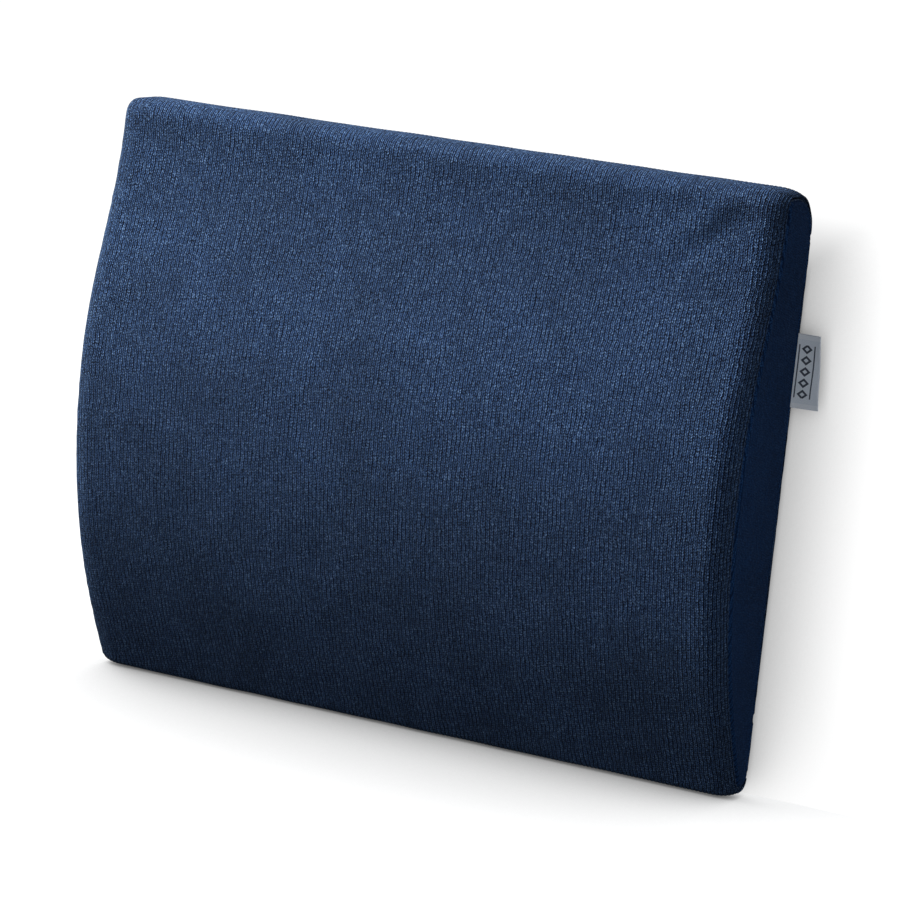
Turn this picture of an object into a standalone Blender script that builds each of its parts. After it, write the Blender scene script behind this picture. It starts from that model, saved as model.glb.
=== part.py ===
"""Lumbar support cushion: a contoured foam core in a removable knit cover, closed by a zip across the lower back.

Metres, +Z up. The flat back lies in the plane y = 0 and faces +Y, the curved front faces -Y, and the origin is
the middle of the back. Every section across X has the same outline family, so the core and all the panels of the
cover come from outline() and keep their clearances when a size changes.
"""

from math import cos, pi, radians, sin, sqrt

import bmesh
import bpy
from mathutils import Vector
from mathutils.geometry import interpolate_bezier

# Cushion: overall sizes and the curve of its front
CUSHION_WIDTH = 0.300
CUSHION_HEIGHT = 0.250
CUSHION_DEPTH = 0.060
TOP_THICKNESS = 0.039
BOTTOM_THICKNESS = 0.018
APEX_HEIGHT = 0.007  # of the deepest point of the front, above the middle
TOP_SLOPE = radians(2)  # lean of the front where it meets each end
BOTTOM_SLOPE = radians(31)
TOP_BACK_RADIUS = 0.020
TOP_FRONT_RADIUS = 0.008
BOTTOM_BACK_RADIUS = 0.008
BOTTOM_FRONT_RADIUS = 0.006
FRONT_PULLS = 0.38, 0.42, 0.46, 0.30  # handles of the front's curve, top to bottom, as shares of each half's rise
ROLL_WIDTH = 0.010  # the front and back turn over to the sides within this width
ROLL_DEPTH = 0.010  # how far the front falls away there
EDGE_RADIUS = 0.003  # how far the back, top and bottom fall away there

# Cover
COVER_THICKNESS = 0.0016
CORE_CLEARANCE = 0.0005
SEAM_TURN = 0.0007  # how far the front and back panels turn onto the side before the seam, over 0.3 of the cover
SEAM_WIDTH = 0.0012  # between the cut edges of two panels that a seam joins
THREAD_RADIUS = 0.00025
PANEL_GAP = 0.0003  # where pieces only touch

# Zip, in layers inwards from the back plane
ZIP_RISE = 0.032  # its middle above the bottom edge
ZIP_LENGTH = 0.250
ZIP_WINDOW = 0.010  # height of the opening between the hems
TAPE_WIDTH = 0.012
TAPE_THICKNESS = 0.0006
TAPE_OVERLAP = 0.008  # past each end of the window
TAPE_GAP = 0.003  # between the two tapes
COIL_PITCH = 0.0025
COIL_THICKNESS = 0.0020
COIL_SPINE = 0.0013
COIL_TOOTH = 0.00085
STITCH_FROM_HEM = 0.0032
FURROW_DEPTH = 0.0007

# Slider and pull
SLIDER_LENGTH = 0.009
SLIDER_WIDTH = 0.008
PLATE_THICKNESS = 0.0008
FLANGE_THICKNESS = 0.0009
DIAMOND_WIDTH = 0.0024
DIAMOND_LENGTH = 0.0032
ARCH_LENGTH = 0.005
ARCH_WIDTH = 0.0016
ARCH_BAR = 0.0010
PULL_LENGTH = 0.022
PULL_WIDTH = 0.006
PULL_THICKNESS = 0.0010
SLIDER_CLEARANCE = 0.0003
STOP_LENGTH = 0.0027

# Side label: a ribbon folded double and caught in the right back seam
LABEL_HEIGHT = 0.0305
LABEL_REACH = 0.0115  # out past the side of the cushion
LABEL_RISE = 0.052  # its middle above the cushion's middle
RIBBON_THICKNESS = 0.00025
RIBBON_SLOT = 0.0001  # between its two layers

# Facets
EDGE_STEPS = 4
FRONT_STEPS = 8

half_width = CUSHION_WIDTH / 2
half_height = CUSHION_HEIGHT / 2
back_top = half_height - TOP_BACK_RADIUS  # the flat back ends at these heights
back_bottom = -half_height + BOTTOM_BACK_RADIUS
zip_z = -half_height + ZIP_RISE
window_half = ZIP_LENGTH / 2
hem_z = ZIP_WINDOW / 2
hem_reach = window_half + COVER_THICKNESS
stitch_reach = window_half + TAPE_OVERLAP / 2

# Depths of the zip's layers, all below the back plane
arch_top = -PANEL_GAP
pull_room = PULL_THICKNESS * sqrt(2) + 0.6 * SLIDER_CLEARANCE  # the square bar turns inside this
hinge_y = arch_top - PLATE_THICKNESS - pull_room / 2
plate_top = hinge_y - pull_room / 2
plate_bottom = plate_top - PLATE_THICKNESS
coil_top = plate_bottom - SLIDER_CLEARANCE
coil_bottom = coil_top - COIL_THICKNESS
tape_top = coil_bottom - PANEL_GAP
tape_bottom = tape_top - TAPE_THICKNESS
keel_top = tape_bottom - SLIDER_CLEARANCE
keel_bottom = keel_top - PLATE_THICKNESS
trench_floor = keel_bottom - SLIDER_CLEARANCE

parts = bpy.data.collections.new("Lumbar support cushion")
tools = bpy.data.collections.new("Cutters and pieces to join")


def clear_scene():
    for obj in list(bpy.data.objects):
        bpy.data.objects.remove(obj, do_unlink=True)
    bpy.context.scene.collection.children.link(parts)
    bpy.context.scene.collection.children.link(tools)


def material(name, color, roughness, metallic=0.0):
    made = bpy.data.materials.new(name)
    made.use_nodes = True
    shader = made.node_tree.nodes["Principled BSDF"]
    shader.inputs["Base Color"].default_value = (*color, 1)
    shader.inputs["Roughness"].default_value = roughness
    shader.inputs["Metallic"].default_value = metallic
    return made


def part(name, data, surface):
    obj = bpy.data.objects.new(name, data)
    data.materials.append(surface)
    parts.objects.link(obj)
    return obj


def tool(obj):
    """Keeps an object out of the render, as something that only cuts or joins."""
    for collection in list(obj.users_collection):
        collection.objects.unlink(obj)
    tools.objects.link(obj)
    obj.hide_render = True
    obj.display_type = "WIRE"
    return obj


def boolean(obj, other, operation):
    modifier = obj.modifiers.new(f"{operation.lower()} {other.name}", "BOOLEAN")
    modifier.object = tool(other)
    modifier.operation = operation
    modifier.solver = "EXACT"


def box(name, low, high, surface, origin=(0, 0, 0)):
    """A block between two opposite corners, with its object's origin at a chosen point."""
    low, high, origin = Vector(low), Vector(high), Vector(origin)
    shape = bmesh.new()
    bmesh.ops.create_cube(shape, size=1)
    bmesh.ops.scale(shape, vec=high - low, verts=shape.verts)
    bmesh.ops.translate(shape, vec=(low + high) / 2 - origin, verts=shape.verts)
    mesh = bpy.data.meshes.new(name)
    shape.to_mesh(mesh)
    shape.free()
    obj = part(name, mesh, surface)
    obj.location = origin
    return obj


def arc(y, z, radius, start, end, steps):
    angles = [start + (end - start) * i / steps for i in range(steps + 1)]
    return [(y + radius * cos(a), z + radius * sin(a)) for a in angles]


def front_curve(first, first_slope, second, second_slope, pulls):
    """Points between two ends of the front, without the ends. A slope is the surface's lean from upright."""
    rise = abs(first[1] - second[1])
    down = Vector((-sin(first_slope), -cos(first_slope))) * rise * pulls[0]
    up = Vector((sin(second_slope), cos(second_slope))) * rise * pulls[1]
    ends = Vector(first), Vector(first) + down, Vector(second) + up, Vector(second)
    return [tuple(p[:2]) for p in interpolate_bezier(*(e.to_3d() for e in ends), FRONT_STEPS + 1)[1:-1]]


def corners(back_radius, front_radius, edge, depth):
    """Both radii of an end, less the inset, and smaller together where the end is too thin for them."""
    back_radius, front_radius = back_radius - edge, front_radius - edge
    share = min(1, (depth - edge) / (back_radius + front_radius))
    return back_radius * share, front_radius * share


def outline(turn, inset=0.0):
    """The section's (y, z) points from the top of the flat back, over the front, to the bottom of the flat back.

    turn goes from 0 on the front to 1 on the sides, where the front has fallen by ROLL_DEPTH, a little less where
    the cushion is thin, and the other edges by EDGE_RADIUS. inset moves the whole outline further in.
    """
    edge = EDGE_RADIUS * turn + inset

    def depth(thickness):
        return thickness - ROLL_DEPTH * turn * sqrt(thickness / CUSHION_DEPTH) - inset

    top, bottom = half_height - edge, -half_height + edge
    at_top, at_bottom = depth(TOP_THICKNESS), depth(BOTTOM_THICKNESS)
    back, front = corners(TOP_BACK_RADIUS, TOP_FRONT_RADIUS, edge, at_top)
    top_back = arc(-edge - back, top - back, back, 0, pi / 2, 5)
    top_front = arc(-at_top + front, top - front, front, pi / 2, pi - TOP_SLOPE, 4)
    back, front = corners(BOTTOM_BACK_RADIUS, BOTTOM_FRONT_RADIUS, edge, at_bottom)
    bottom_front = arc(-at_bottom + front, bottom + front, front, pi + BOTTOM_SLOPE, pi * 3 / 2, 3)
    bottom_back = arc(-edge - back, bottom + back, back, pi * 3 / 2, pi * 2, 4)
    apex = (-depth(CUSHION_DEPTH), APEX_HEIGHT)
    upper = front_curve(top_front[-1], TOP_SLOPE, apex, 0, FRONT_PULLS[:2])
    lower = front_curve(apex, 0, bottom_front[0], -BOTTOM_SLOPE, FRONT_PULLS[2:])
    return [*top_back, *top_front, *upper, apex, *lower, *bottom_front, *bottom_back]


def stations(inset=0.0):
    """(x, turn, inset) of each section from the left side to the right: a quarter ellipse at each edge."""
    angles = [pi / 2 * i / EDGE_STEPS for i in range(EDGE_STEPS + 1)]
    right = [(half_width - inset - ROLL_WIDTH * (1 - sin(a)), 1 - cos(a), inset) for a in angles]
    return [(-x, turn, own) for x, turn, own in reversed(right)] + right


def panel_stations():
    """The same sections for a panel of the cover, with one more at each end that lies on the side."""
    return [(-half_width, 1, SEAM_TURN), *stations(), (half_width, 1, SEAM_TURN)]


def sheet(name, rows, closed=False):
    """A mesh through rows of points, one row for each station. A closed one wraps each row and caps both ends."""
    shape = bmesh.new()
    grid = [[shape.verts.new(point) for point in row] for row in rows]
    count = len(grid[0])
    for left, right in zip(grid, grid[1:]):
        for i in range(count if closed else count - 1):
            j = (i + 1) % count
            shape.faces.new((left[i], left[j], right[j], right[i]))
    if closed:
        shape.faces.new(grid[0])
        shape.faces.new(grid[-1])
        bmesh.ops.recalc_face_normals(shape, faces=shape.faces)
    mesh = bpy.data.meshes.new(name)
    shape.to_mesh(mesh)
    shape.free()
    return mesh


def thicken(obj, thickness, offset=-1):
    modifier = obj.modifiers.new("fabric", "SOLIDIFY")
    modifier.thickness = thickness
    modifier.offset = offset
    modifier.use_even_offset = True


def flat_curve(name, outlines, thickness, surface, location, rotation=(0, 0, 0)):
    """Filled outlines, a hole where one lies inside another, with half the thickness on each side."""
    curve = bpy.data.curves.new(name, "CURVE")
    curve.dimensions = "2D"
    curve.fill_mode = "BOTH"
    curve.extrude = thickness / 2
    for points in outlines:
        spline = curve.splines.new("POLY")
        spline.points.add(len(points) - 1)
        spline.use_cyclic_u = True
        for target, (x, y) in zip(spline.points, points):
            target.co = (x, y, 0, 1)
    obj = part(name, curve, surface)
    obj.location = location
    obj.rotation_euler = rotation
    return obj


def thread(name, points, surface, closed=False):
    curve = bpy.data.curves.new(name, "CURVE")
    curve.dimensions = "3D"
    curve.bevel_depth = THREAD_RADIUS
    curve.bevel_resolution = 0
    curve.use_fill_caps = not closed
    spline = curve.splines.new("POLY")
    spline.points.add(len(points) - 1)
    spline.use_cyclic_u = closed
    for target, point in zip(spline.points, points):
        target.co = (*point, 1)
    return part(name, curve, surface)


def make_core(foam):
    inset = COVER_THICKNESS + CORE_CLEARANCE
    rows = [[(x, y, z) for y, z in outline(turn, own)] for x, turn, own in stations(inset)]
    core = part("foam_core", sheet("foam_core", rows, closed=True), foam)
    reach = (window_half + TAPE_OVERLAP + 2 * SLIDER_CLEARANCE, TAPE_GAP / 2 + TAPE_WIDTH + 2 * SLIDER_CLEARANCE)
    low = (-reach[0], trench_floor, zip_z - reach[1])
    trench = box("zip_trench", low, (reach[0], COVER_THICKNESS, zip_z + reach[1]), foam)
    boolean(core, trench, "DIFFERENCE")


def make_front(knit):
    rows = [[(x, y, z) for y, z in outline(turn, inset)] for x, turn, inset in panel_stations()]
    thicken(part("front_panel", sheet("front_panel", rows), knit), COVER_THICKNESS)


def make_sides(knit):
    """Flat panels that fill the outline of each side, in the plane of the side."""
    for name, side in (("side_panel_right", 1), ("side_panel_left", -1)):
        middle = side * (half_width - COVER_THICKNESS / 2)
        flat_curve(name, [outline(1, SEAM_TURN + SEAM_WIDTH)], COVER_THICKNESS, knit, (middle, 0, 0), (pi / 2, 0, pi / 2))


def make_back(knit):
    """Two panels that meet along the middle of the zip and part around its window, where each has a turned hem."""
    spans = (
        ("upper", 1, zip_z + PANEL_GAP / 2, back_top - SEAM_WIDTH),
        ("lower", -1, back_bottom + SEAM_WIDTH, zip_z - PANEL_GAP / 2),
    )
    for which, side, low, high in spans:
        rows = [[(x, -EDGE_RADIUS * turn - own, z) for z in (low, high)] for x, turn, own in panel_stations()]
        name = f"back_panel_{which}"
        panel = part(name, sheet(name, rows), knit)
        thicken(panel, COVER_THICKNESS)
        hem_edges = sorted((zip_z + side * PANEL_GAP, zip_z + side * (hem_z + COVER_THICKNESS)))
        hem_low = (-hem_reach, tape_top + PANEL_GAP, hem_edges[0])
        hem = box(f"hem_{which}", hem_low, (hem_reach, -COVER_THICKNESS / 2, hem_edges[1]), knit)
        boolean(panel, hem, "UNION")
        window_low = (-window_half, tape_bottom, zip_z - hem_z)
        window_high = (window_half, COVER_THICKNESS, zip_z + hem_z)
        boolean(panel, box(f"window_{which}", window_low, window_high, knit), "DIFFERENCE")
        line = zip_z + side * (hem_z + STITCH_FROM_HEM)
        wide = THREAD_RADIUS + PANEL_GAP
        furrow_low = (-stitch_reach, -FURROW_DEPTH, line - wide)
        furrow = box(f"furrow_{which}", furrow_low, (stitch_reach, COVER_THICKNESS, line + wide), knit)
        boolean(panel, furrow, "DIFFERENCE")


def make_threads(cotton):
    """One seam round each side panel, one along each end of the back, and a row of stitching above and below the zip."""
    for name, side in (("seam_thread_right", 1), ("seam_thread_left", -1)):
        x = side * (half_width - COVER_THICKNESS + THREAD_RADIUS)
        path = outline(1, SEAM_TURN + SEAM_WIDTH / 2)
        thread(name, [(x, y, z) for y, z in path], cotton, closed=True)
    reach = half_width - ROLL_WIDTH
    depth = -COVER_THICKNESS / 2
    ends = (("top", back_top - SEAM_WIDTH / 2), ("bottom", back_bottom + SEAM_WIDTH / 2))
    for which, z in ends:
        thread(f"seam_thread_{which}", [(-reach, depth, z), (reach, depth, z)], cotton)
    reach = stitch_reach - PANEL_GAP
    for which, side in (("upper", 1), ("lower", -1)):
        z = zip_z + side * (hem_z + STITCH_FROM_HEM)
        depth = -FURROW_DEPTH + THREAD_RADIUS + PANEL_GAP / 2
        thread(f"zip_stitch_{which}", [(-reach, depth, z), (reach, depth, z)], cotton)


def make_label(ribbon):
    """The ribbon leaves the seam, turns at its outer end and comes back, so its two cut ends are in the seam."""
    middle = -EDGE_RADIUS - SEAM_TURN - SEAM_WIDTH / 2
    turn = (RIBBON_SLOT + RIBBON_THICKNESS) / 2
    root = half_width - COVER_THICKNESS + 4 * THREAD_RADIUS
    tip = half_width + LABEL_REACH - turn - RIBBON_THICKNESS / 2
    fold = [(tip + turn * sin(a), middle + turn * cos(a)) for a in (pi * i / 6 for i in range(7))]
    path = [(root, middle + turn), *fold, (root, middle - turn)]
    ends = LABEL_RISE - LABEL_HEIGHT / 2, LABEL_RISE + LABEL_HEIGHT / 2
    label = part("side_label", sheet("side_label", [[(x, y, z) for x, y in path] for z in ends]), ribbon)
    thicken(label, RIBBON_THICKNESS, offset=0)


def make_tapes(woven):
    reach = window_half + TAPE_OVERLAP
    for which, side in (("upper", 1), ("lower", -1)):
        edges = sorted((zip_z + side * TAPE_GAP / 2, zip_z + side * (TAPE_GAP / 2 + TAPE_WIDTH)))
        box(f"zip_tape_{which}", (-reach, tape_bottom, edges[0]), (reach, tape_top, edges[1]), woven)


def make_coils(plastic, start, end, teeth_start):
    """Each coil as a comb: a spine beside the middle of the zip, and teeth that lie between the other coil's."""
    spine_low = TAPE_GAP / 2
    tips = -(spine_low - SLIDER_CLEARANCE)
    for which, side, shift in (("upper", 1, 0.0), ("lower", -1, COIL_PITCH / 2)):
        points = [(start, spine_low)]
        x = teeth_start + shift
        while x + COIL_TOOTH < end:
            points += [(x, spine_low), (x, tips), (x + COIL_TOOTH, tips), (x + COIL_TOOTH, spine_low)]
            x += COIL_PITCH
        points += [(end, spine_low), (end, spine_low + COIL_SPINE), (start, spine_low + COIL_SPINE)]
        comb = [(x, side * z) for x, z in points]
        place = (0, (coil_top + coil_bottom) / 2, zip_z)
        flat_curve(f"zip_coil_{which}", [comb], COIL_THICKNESS, plastic, place, (pi / 2, 0, 0))


def make_stops(metal, top_start, bottom_start):
    wide = SLIDER_WIDTH / 2
    for which, side in (("upper", 1), ("lower", -1)):
        edges = sorted((zip_z + side * TAPE_GAP / 2, zip_z + side * wide))
        high = (top_start + STOP_LENGTH, coil_top, edges[1])
        box(f"zip_top_stop_{which}", (top_start, coil_bottom, edges[0]), high, metal)
    low = (bottom_start, coil_bottom, zip_z - wide)
    box("zip_bottom_stop", low, (bottom_start + STOP_LENGTH, coil_top, zip_z + wide), metal)


def make_slider(metal, middle):
    """Two plates joined by a diamond that runs between the tapes, flanges beside the coils and an arch for the pull."""
    origin = (middle, hinge_y, zip_z)
    front, back = middle - SLIDER_LENGTH / 2, middle + SLIDER_LENGTH / 2
    wide = SLIDER_WIDTH / 2

    def piece(name, x, y, z):
        return box(name, (x[0], y[0], zip_z + z[0]), (x[1], y[1], zip_z + z[1]), metal, origin)

    sink = PLATE_THICKNESS / 2
    slider = piece("zip_slider", (front, back), (plate_bottom, plate_top), (-wide, wide))
    pieces = [
        piece("keel", (front, back), (keel_bottom, keel_top), (-wide, wide)),
        piece("flange_up", (front, back), (coil_bottom, plate_bottom + sink), (wide - FLANGE_THICKNESS, wide)),
        piece("flange_down", (front, back), (coil_bottom, plate_bottom + sink), (-wide, -wide + FLANGE_THICKNESS)),
    ]
    diamond_x = (front + FLANGE_THICKNESS, front + FLANGE_THICKNESS + DIAMOND_LENGTH)
    half = DIAMOND_WIDTH / 2
    pieces.append(piece("diamond", diamond_x, (keel_top - sink, plate_bottom + sink), (-half, half)))
    reach, half = ARCH_LENGTH / 2, ARCH_WIDTH / 2
    arch = piece("arch", (middle - reach, middle + reach), (plate_top - sink, arch_top), (-half, half))
    gap = (middle - reach + ARCH_BAR, middle + reach - ARCH_BAR)
    boolean(arch, piece("arch_gap", gap, (plate_top - 2 * sink, arch_top - PLATE_THICKNESS), (-wide, wide)), "DIFFERENCE")
    for other in (*pieces, arch):
        boolean(slider, other, "UNION")
    return slider


def make_pull(metal, slider):
    """A flat tab whose eye holds the arch. Its origin is on the hinge axis, at the middle of the eye's end bar."""
    half = PULL_WIDTH / 2
    bar = PULL_THICKNESS / 2
    eye_end = sqrt((ARCH_LENGTH / 2) ** 2 + (hinge_y - arch_top) ** 2) + 3 * SLIDER_CLEARANCE
    eye_half = ARCH_WIDTH / 2 + SLIDER_CLEARANCE
    eye = [(bar, -eye_half), (bar, eye_half), (eye_end, eye_half), (eye_end, -eye_half)]
    round_end = [(PULL_LENGTH - half + half * cos(a), half * sin(a)) for a in (pi * i / 8 - pi / 2 for i in range(9))]
    neck = eye_half + PULL_THICKNESS
    body = [(-bar, -neck), (eye_end, -neck), (eye_end + half - neck, -half)]
    outer = body + round_end + [(x, -z) for x, z in reversed(body)]
    hole_x = PULL_LENGTH - half
    hole = [(hole_x + half / 2 * cos(a), half / 2 * sin(a)) for a in (pi * i / 6 for i in range(12))]
    pull = flat_curve("zip_pull", [outer, eye, hole], PULL_THICKNESS, metal, (0, 0, 0), (pi / 2, 0, 0))
    pull.parent = slider


def main():
    clear_scene()
    knit = material("Navy rib knit", (0.012, 0.035, 0.090), 0.85)
    foam = material("Pale foam", (0.80, 0.76, 0.62), 0.9)
    woven = material("Navy zip tape", (0.010, 0.022, 0.055), 0.8)
    plastic = material("Navy zip coil", (0.010, 0.020, 0.050), 0.4)
    metal = material("Dark enamelled metal", (0.010, 0.020, 0.045), 0.35, 0.6)
    cotton = material("Navy thread", (0.010, 0.026, 0.070), 0.7)
    ribbon = material("White satin ribbon", (0.72, 0.76, 0.80), 0.45)
    top_stop = -window_half + 2 * FLANGE_THICKNESS
    last_middle = window_half - PULL_LENGTH - 2 * SLIDER_CLEARANCE  # the pull still lies inside the window here
    bottom_stop = last_middle + SLIDER_LENGTH / 2 + SLIDER_CLEARANCE
    coil_start = top_stop + STOP_LENGTH + SLIDER_CLEARANCE
    slider_middle = coil_start + SLIDER_CLEARANCE + SLIDER_LENGTH / 2
    teeth_start = slider_middle - SLIDER_LENGTH / 2 + FLANGE_THICKNESS + DIAMOND_LENGTH + SLIDER_CLEARANCE
    make_core(foam)
    make_front(knit)
    make_sides(knit)
    make_back(knit)
    make_threads(cotton)
    make_label(ribbon)
    make_tapes(woven)
    make_coils(plastic, coil_start, bottom_stop - SLIDER_CLEARANCE, teeth_start)
    make_stops(metal, top_stop, bottom_stop)
    make_pull(metal, make_slider(metal, slider_middle))


main()
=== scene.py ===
import math

import bmesh
import bpy
import numpy as np
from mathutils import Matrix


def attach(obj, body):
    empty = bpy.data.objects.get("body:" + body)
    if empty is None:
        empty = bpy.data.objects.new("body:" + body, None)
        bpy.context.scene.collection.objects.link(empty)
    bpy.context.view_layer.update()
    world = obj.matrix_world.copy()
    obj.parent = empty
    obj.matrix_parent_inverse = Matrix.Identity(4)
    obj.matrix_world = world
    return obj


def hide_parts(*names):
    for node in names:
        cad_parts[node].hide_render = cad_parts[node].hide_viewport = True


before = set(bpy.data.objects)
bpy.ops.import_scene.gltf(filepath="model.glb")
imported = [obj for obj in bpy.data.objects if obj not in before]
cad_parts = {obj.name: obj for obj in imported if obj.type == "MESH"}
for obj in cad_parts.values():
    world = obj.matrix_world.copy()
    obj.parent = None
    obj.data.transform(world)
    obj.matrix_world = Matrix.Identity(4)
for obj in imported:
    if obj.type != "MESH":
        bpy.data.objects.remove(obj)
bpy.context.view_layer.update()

# Lumbar cushion in a navy rib-knit cover. Metres; the flat back is y = 0, the curved front faces -Y.

cushion = {
    "width": 0.300, "height": 0.250, "depth": 0.060,
    "topThickness": 0.039, "bottomThickness": 0.018, "apexHeight": 0.007,
    "topSlope": math.radians(2), "bottomSlope": math.radians(31),
    "topBackRadius": 0.020, "topFrontRadius": 0.008,
    "bottomBackRadius": 0.008, "bottomFrontRadius": 0.006,
    "pulls": (0.38, 0.42, 0.46, 0.30),  # handles of the front's curve
    "rollWidth": 0.010, "rollDepth": 0.010, "edgeRadius": 0.003,
    "seamGap": 0.0003, "seamInset": 0.0007, "panelThickness": 0.0012,
}
halfWidth = cushion["width"] / 2
halfHeight = cushion["height"] / 2
backTop = halfHeight - cushion["topBackRadius"]
backBottom = -halfHeight + cushion["bottomBackRadius"]


def smoothStep(low, high, value):  # 0 below low, 1 above high, 3t^2 - 2t^3 between
    t = np.clip((value - low) / (high - low), 0, 1)
    return t * t * (3 - 2 * t)


def gridNormals(points):  # unit cross product of the steps along rows and along columns
    along = np.gradient(points, axis=0)
    across = np.gradient(points, axis=1)
    normals = np.cross(along, across)
    return normals / np.maximum(np.linalg.norm(normals, axis=-1, keepdims=True), 1e-12)


def gridQuads(rows, columns, wrapRows=False, wrapColumns=False):  # corner numbers of each cell of a grid
    r = np.arange(rows if wrapRows else rows - 1)[:, None]
    c = np.arange(columns if wrapColumns else columns - 1)[None, :]
    down, right = (r + 1) % rows, (c + 1) % columns
    corners = [r * columns + c, down * columns + c, down * columns + right, r * columns + right]
    return np.stack([np.broadcast_to(x, (r.shape[0], c.shape[1])).ravel() for x in corners], 1)


def makeMesh(name, points, faces, materials, uv=None, smooth=True):
    # faces is a list of arrays, each with its own number of corners; uv holds a pair per vertex for each map
    points = np.asarray(points, float).reshape(-1, 3)
    mesh = bpy.data.meshes.new(name)
    mesh.vertices.add(len(points))
    mesh.vertices.foreach_set("co", points.astype(np.float32).ravel())
    faces = [np.asarray(f, np.int64) for f in faces if len(f)]
    corners = np.concatenate([f.ravel() for f in faces])
    counts = np.concatenate([np.full(len(f), f.shape[1]) for f in faces])
    mesh.loops.add(len(corners))
    mesh.loops.foreach_set("vertex_index", corners.astype(np.int32))
    mesh.polygons.add(len(counts))
    mesh.polygons.foreach_set("loop_start", (np.cumsum(counts) - counts).astype(np.int32))
    mesh.update(calc_edges=True)
    mesh.validate()
    mesh.polygons.foreach_set("use_smooth", np.full(len(mesh.polygons), smooth))
    for key, values in (uv or {}).items():
        layer = mesh.uv_layers.new(name=key)
        layer.uv.foreach_set("vector", np.asarray(values, np.float32)[corners].ravel())
    for material in materials:
        mesh.materials.append(material)
    obj = bpy.data.objects.new(name, mesh)
    bpy.context.scene.collection.objects.link(obj)
    return obj


def place(obj, slot, *nodes, body="root"):  # the calls that tie a new piece to the frame
    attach(obj, body)
    if nodes:
        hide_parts(*nodes)
    return obj


def splineWeights(at, count):  # cubic B-spline blend of coarse samples, each row summing to 1
    d = np.abs(np.asarray(at)[:, None] - np.arange(count)[None, :])
    w = np.where(d < 1, 2 / 3 - d**2 + d**3 / 2, np.where(d < 2, (2 - d) ** 3 / 6, 0))
    return w / w.sum(1, keepdims=True)


def waves(seed, points, lengths, count=6):
    # sum of sines in random directions: count of them around each wavelength, so the same every run
    draw = np.random.default_rng(seed)
    total = np.zeros(points.shape[:-1])
    for length in lengths:
        for _ in range(count):
            direction = draw.normal(size=points.shape[-1])
            direction *= 2 * np.pi / (length * np.linalg.norm(direction) * draw.uniform(0.8, 1.25))
            total += np.sin(points @ direction + draw.uniform(0, 2 * np.pi))
    return total / (count * len(lengths)) ** 0.5


# Section of the cushion
def arcPoints(y, z, radius, start, end, steps):  # circle arc about (y, z), both ends included
    angle = np.linspace(start, end, steps + 1)[None, :]
    return np.stack([y + radius * np.cos(angle), z + radius * np.sin(angle)], -1)


def bezierPoints(first, second, third, fourth, steps):  # cubic Bezier without its two ends
    t = np.linspace(0, 1, steps + 2)[1:-1][None, :, None]
    a, b, c, d = (p[:, None, :] for p in (first, second, third, fourth))
    return (1 - t) ** 3 * a + 3 * (1 - t) ** 2 * t * b + 3 * (1 - t) * t**2 * c + t**3 * d


sectionSteps = {"topBack": 20, "topFront": 12, "upper": 40, "lower": 42, "bottomFront": 8, "bottomBack": 12}


def sectionOutline(turn, inset):
    # (y, z) from the top of the flat back, over the front, to its bottom, for each pair of turn and inset:
    # arcs at the four corners and two Bezier curves that meet at the deepest point of the front
    turn, inset = np.asarray(turn, float)[:, None], np.asarray(inset, float)[:, None]
    edge = cushion["edgeRadius"] * turn + inset

    def depthOf(thickness):
        return thickness - cushion["rollDepth"] * turn * math.sqrt(thickness / cushion["depth"]) - inset

    def radii(back, front, depth):
        back, front = back - edge, front - edge
        share = np.minimum(1, (depth - edge) / (back + front))
        return back * share, front * share

    top, bottom = halfHeight - edge, edge - halfHeight
    atTop, atBottom = depthOf(cushion["topThickness"]), depthOf(cushion["bottomThickness"])
    back, front = radii(cushion["topBackRadius"], cushion["topFrontRadius"], atTop)
    pi, steps = math.pi, sectionSteps
    topBack = arcPoints(-edge - back, top - back, back, 0, pi / 2, steps["topBack"])
    topFront = arcPoints(
        -atTop + front, top - front, front, pi / 2, pi - cushion["topSlope"], steps["topFront"])
    back, front = radii(cushion["bottomBackRadius"], cushion["bottomFrontRadius"], atBottom)
    bottomFront = arcPoints(
        -atBottom + front, bottom + front, front, pi + cushion["bottomSlope"], pi * 1.5, steps["bottomFront"])
    bottomBack = arcPoints(-edge - back, bottom + back, back, pi * 1.5, pi * 2, steps["bottomBack"])
    apex = np.stack([-depthOf(cushion["depth"]), np.full_like(turn, cushion["apexHeight"])], -1)[:, 0]

    def curve(start, startSlope, end, endSlope, pulls, count):
        rise = np.abs(start[:, 1] - end[:, 1])[:, None]
        down = np.array([-math.sin(startSlope), -math.cos(startSlope)]) * rise * pulls[0]
        up = np.array([math.sin(endSlope), math.cos(endSlope)]) * rise * pulls[1]
        return bezierPoints(start, start + down, end + up, end, count)

    upper = curve(topFront[:, -1], cushion["topSlope"], apex, 0, cushion["pulls"][:2], steps["upper"])
    lower = curve(apex, 0, bottomFront[:, 0], -cushion["bottomSlope"], cushion["pulls"][2:], steps["lower"])
    return np.concatenate(
        [topBack, topFront[:, 1:], upper, apex[:, None], lower, bottomFront, bottomBack[:, 1:]], 1)


def sampleAt(outlines, at):  # points at fractional places along each outline, straight between samples
    low = np.clip(np.floor(at).astype(int), 0, outlines.shape[1] - 2)
    share = (at - low)[None, :, None]
    return outlines[:, low] * (1 - share) + outlines[:, low + 1] * share


def carriedAcross(x, sections):  # a grid of rows along the sections and columns across, one section per x
    across = np.broadcast_to(x[:, None, None], sections[..., :1].shape)
    return np.concatenate([across, sections], -1).swapaxes(0, 1)


def rollStation(angle):  # (x, turn) on the quarter ellipse where the front turns over to a side
    return halfWidth - cushion["rollWidth"] * (1 - np.sin(angle)), 1 - np.cos(angle)


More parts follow.
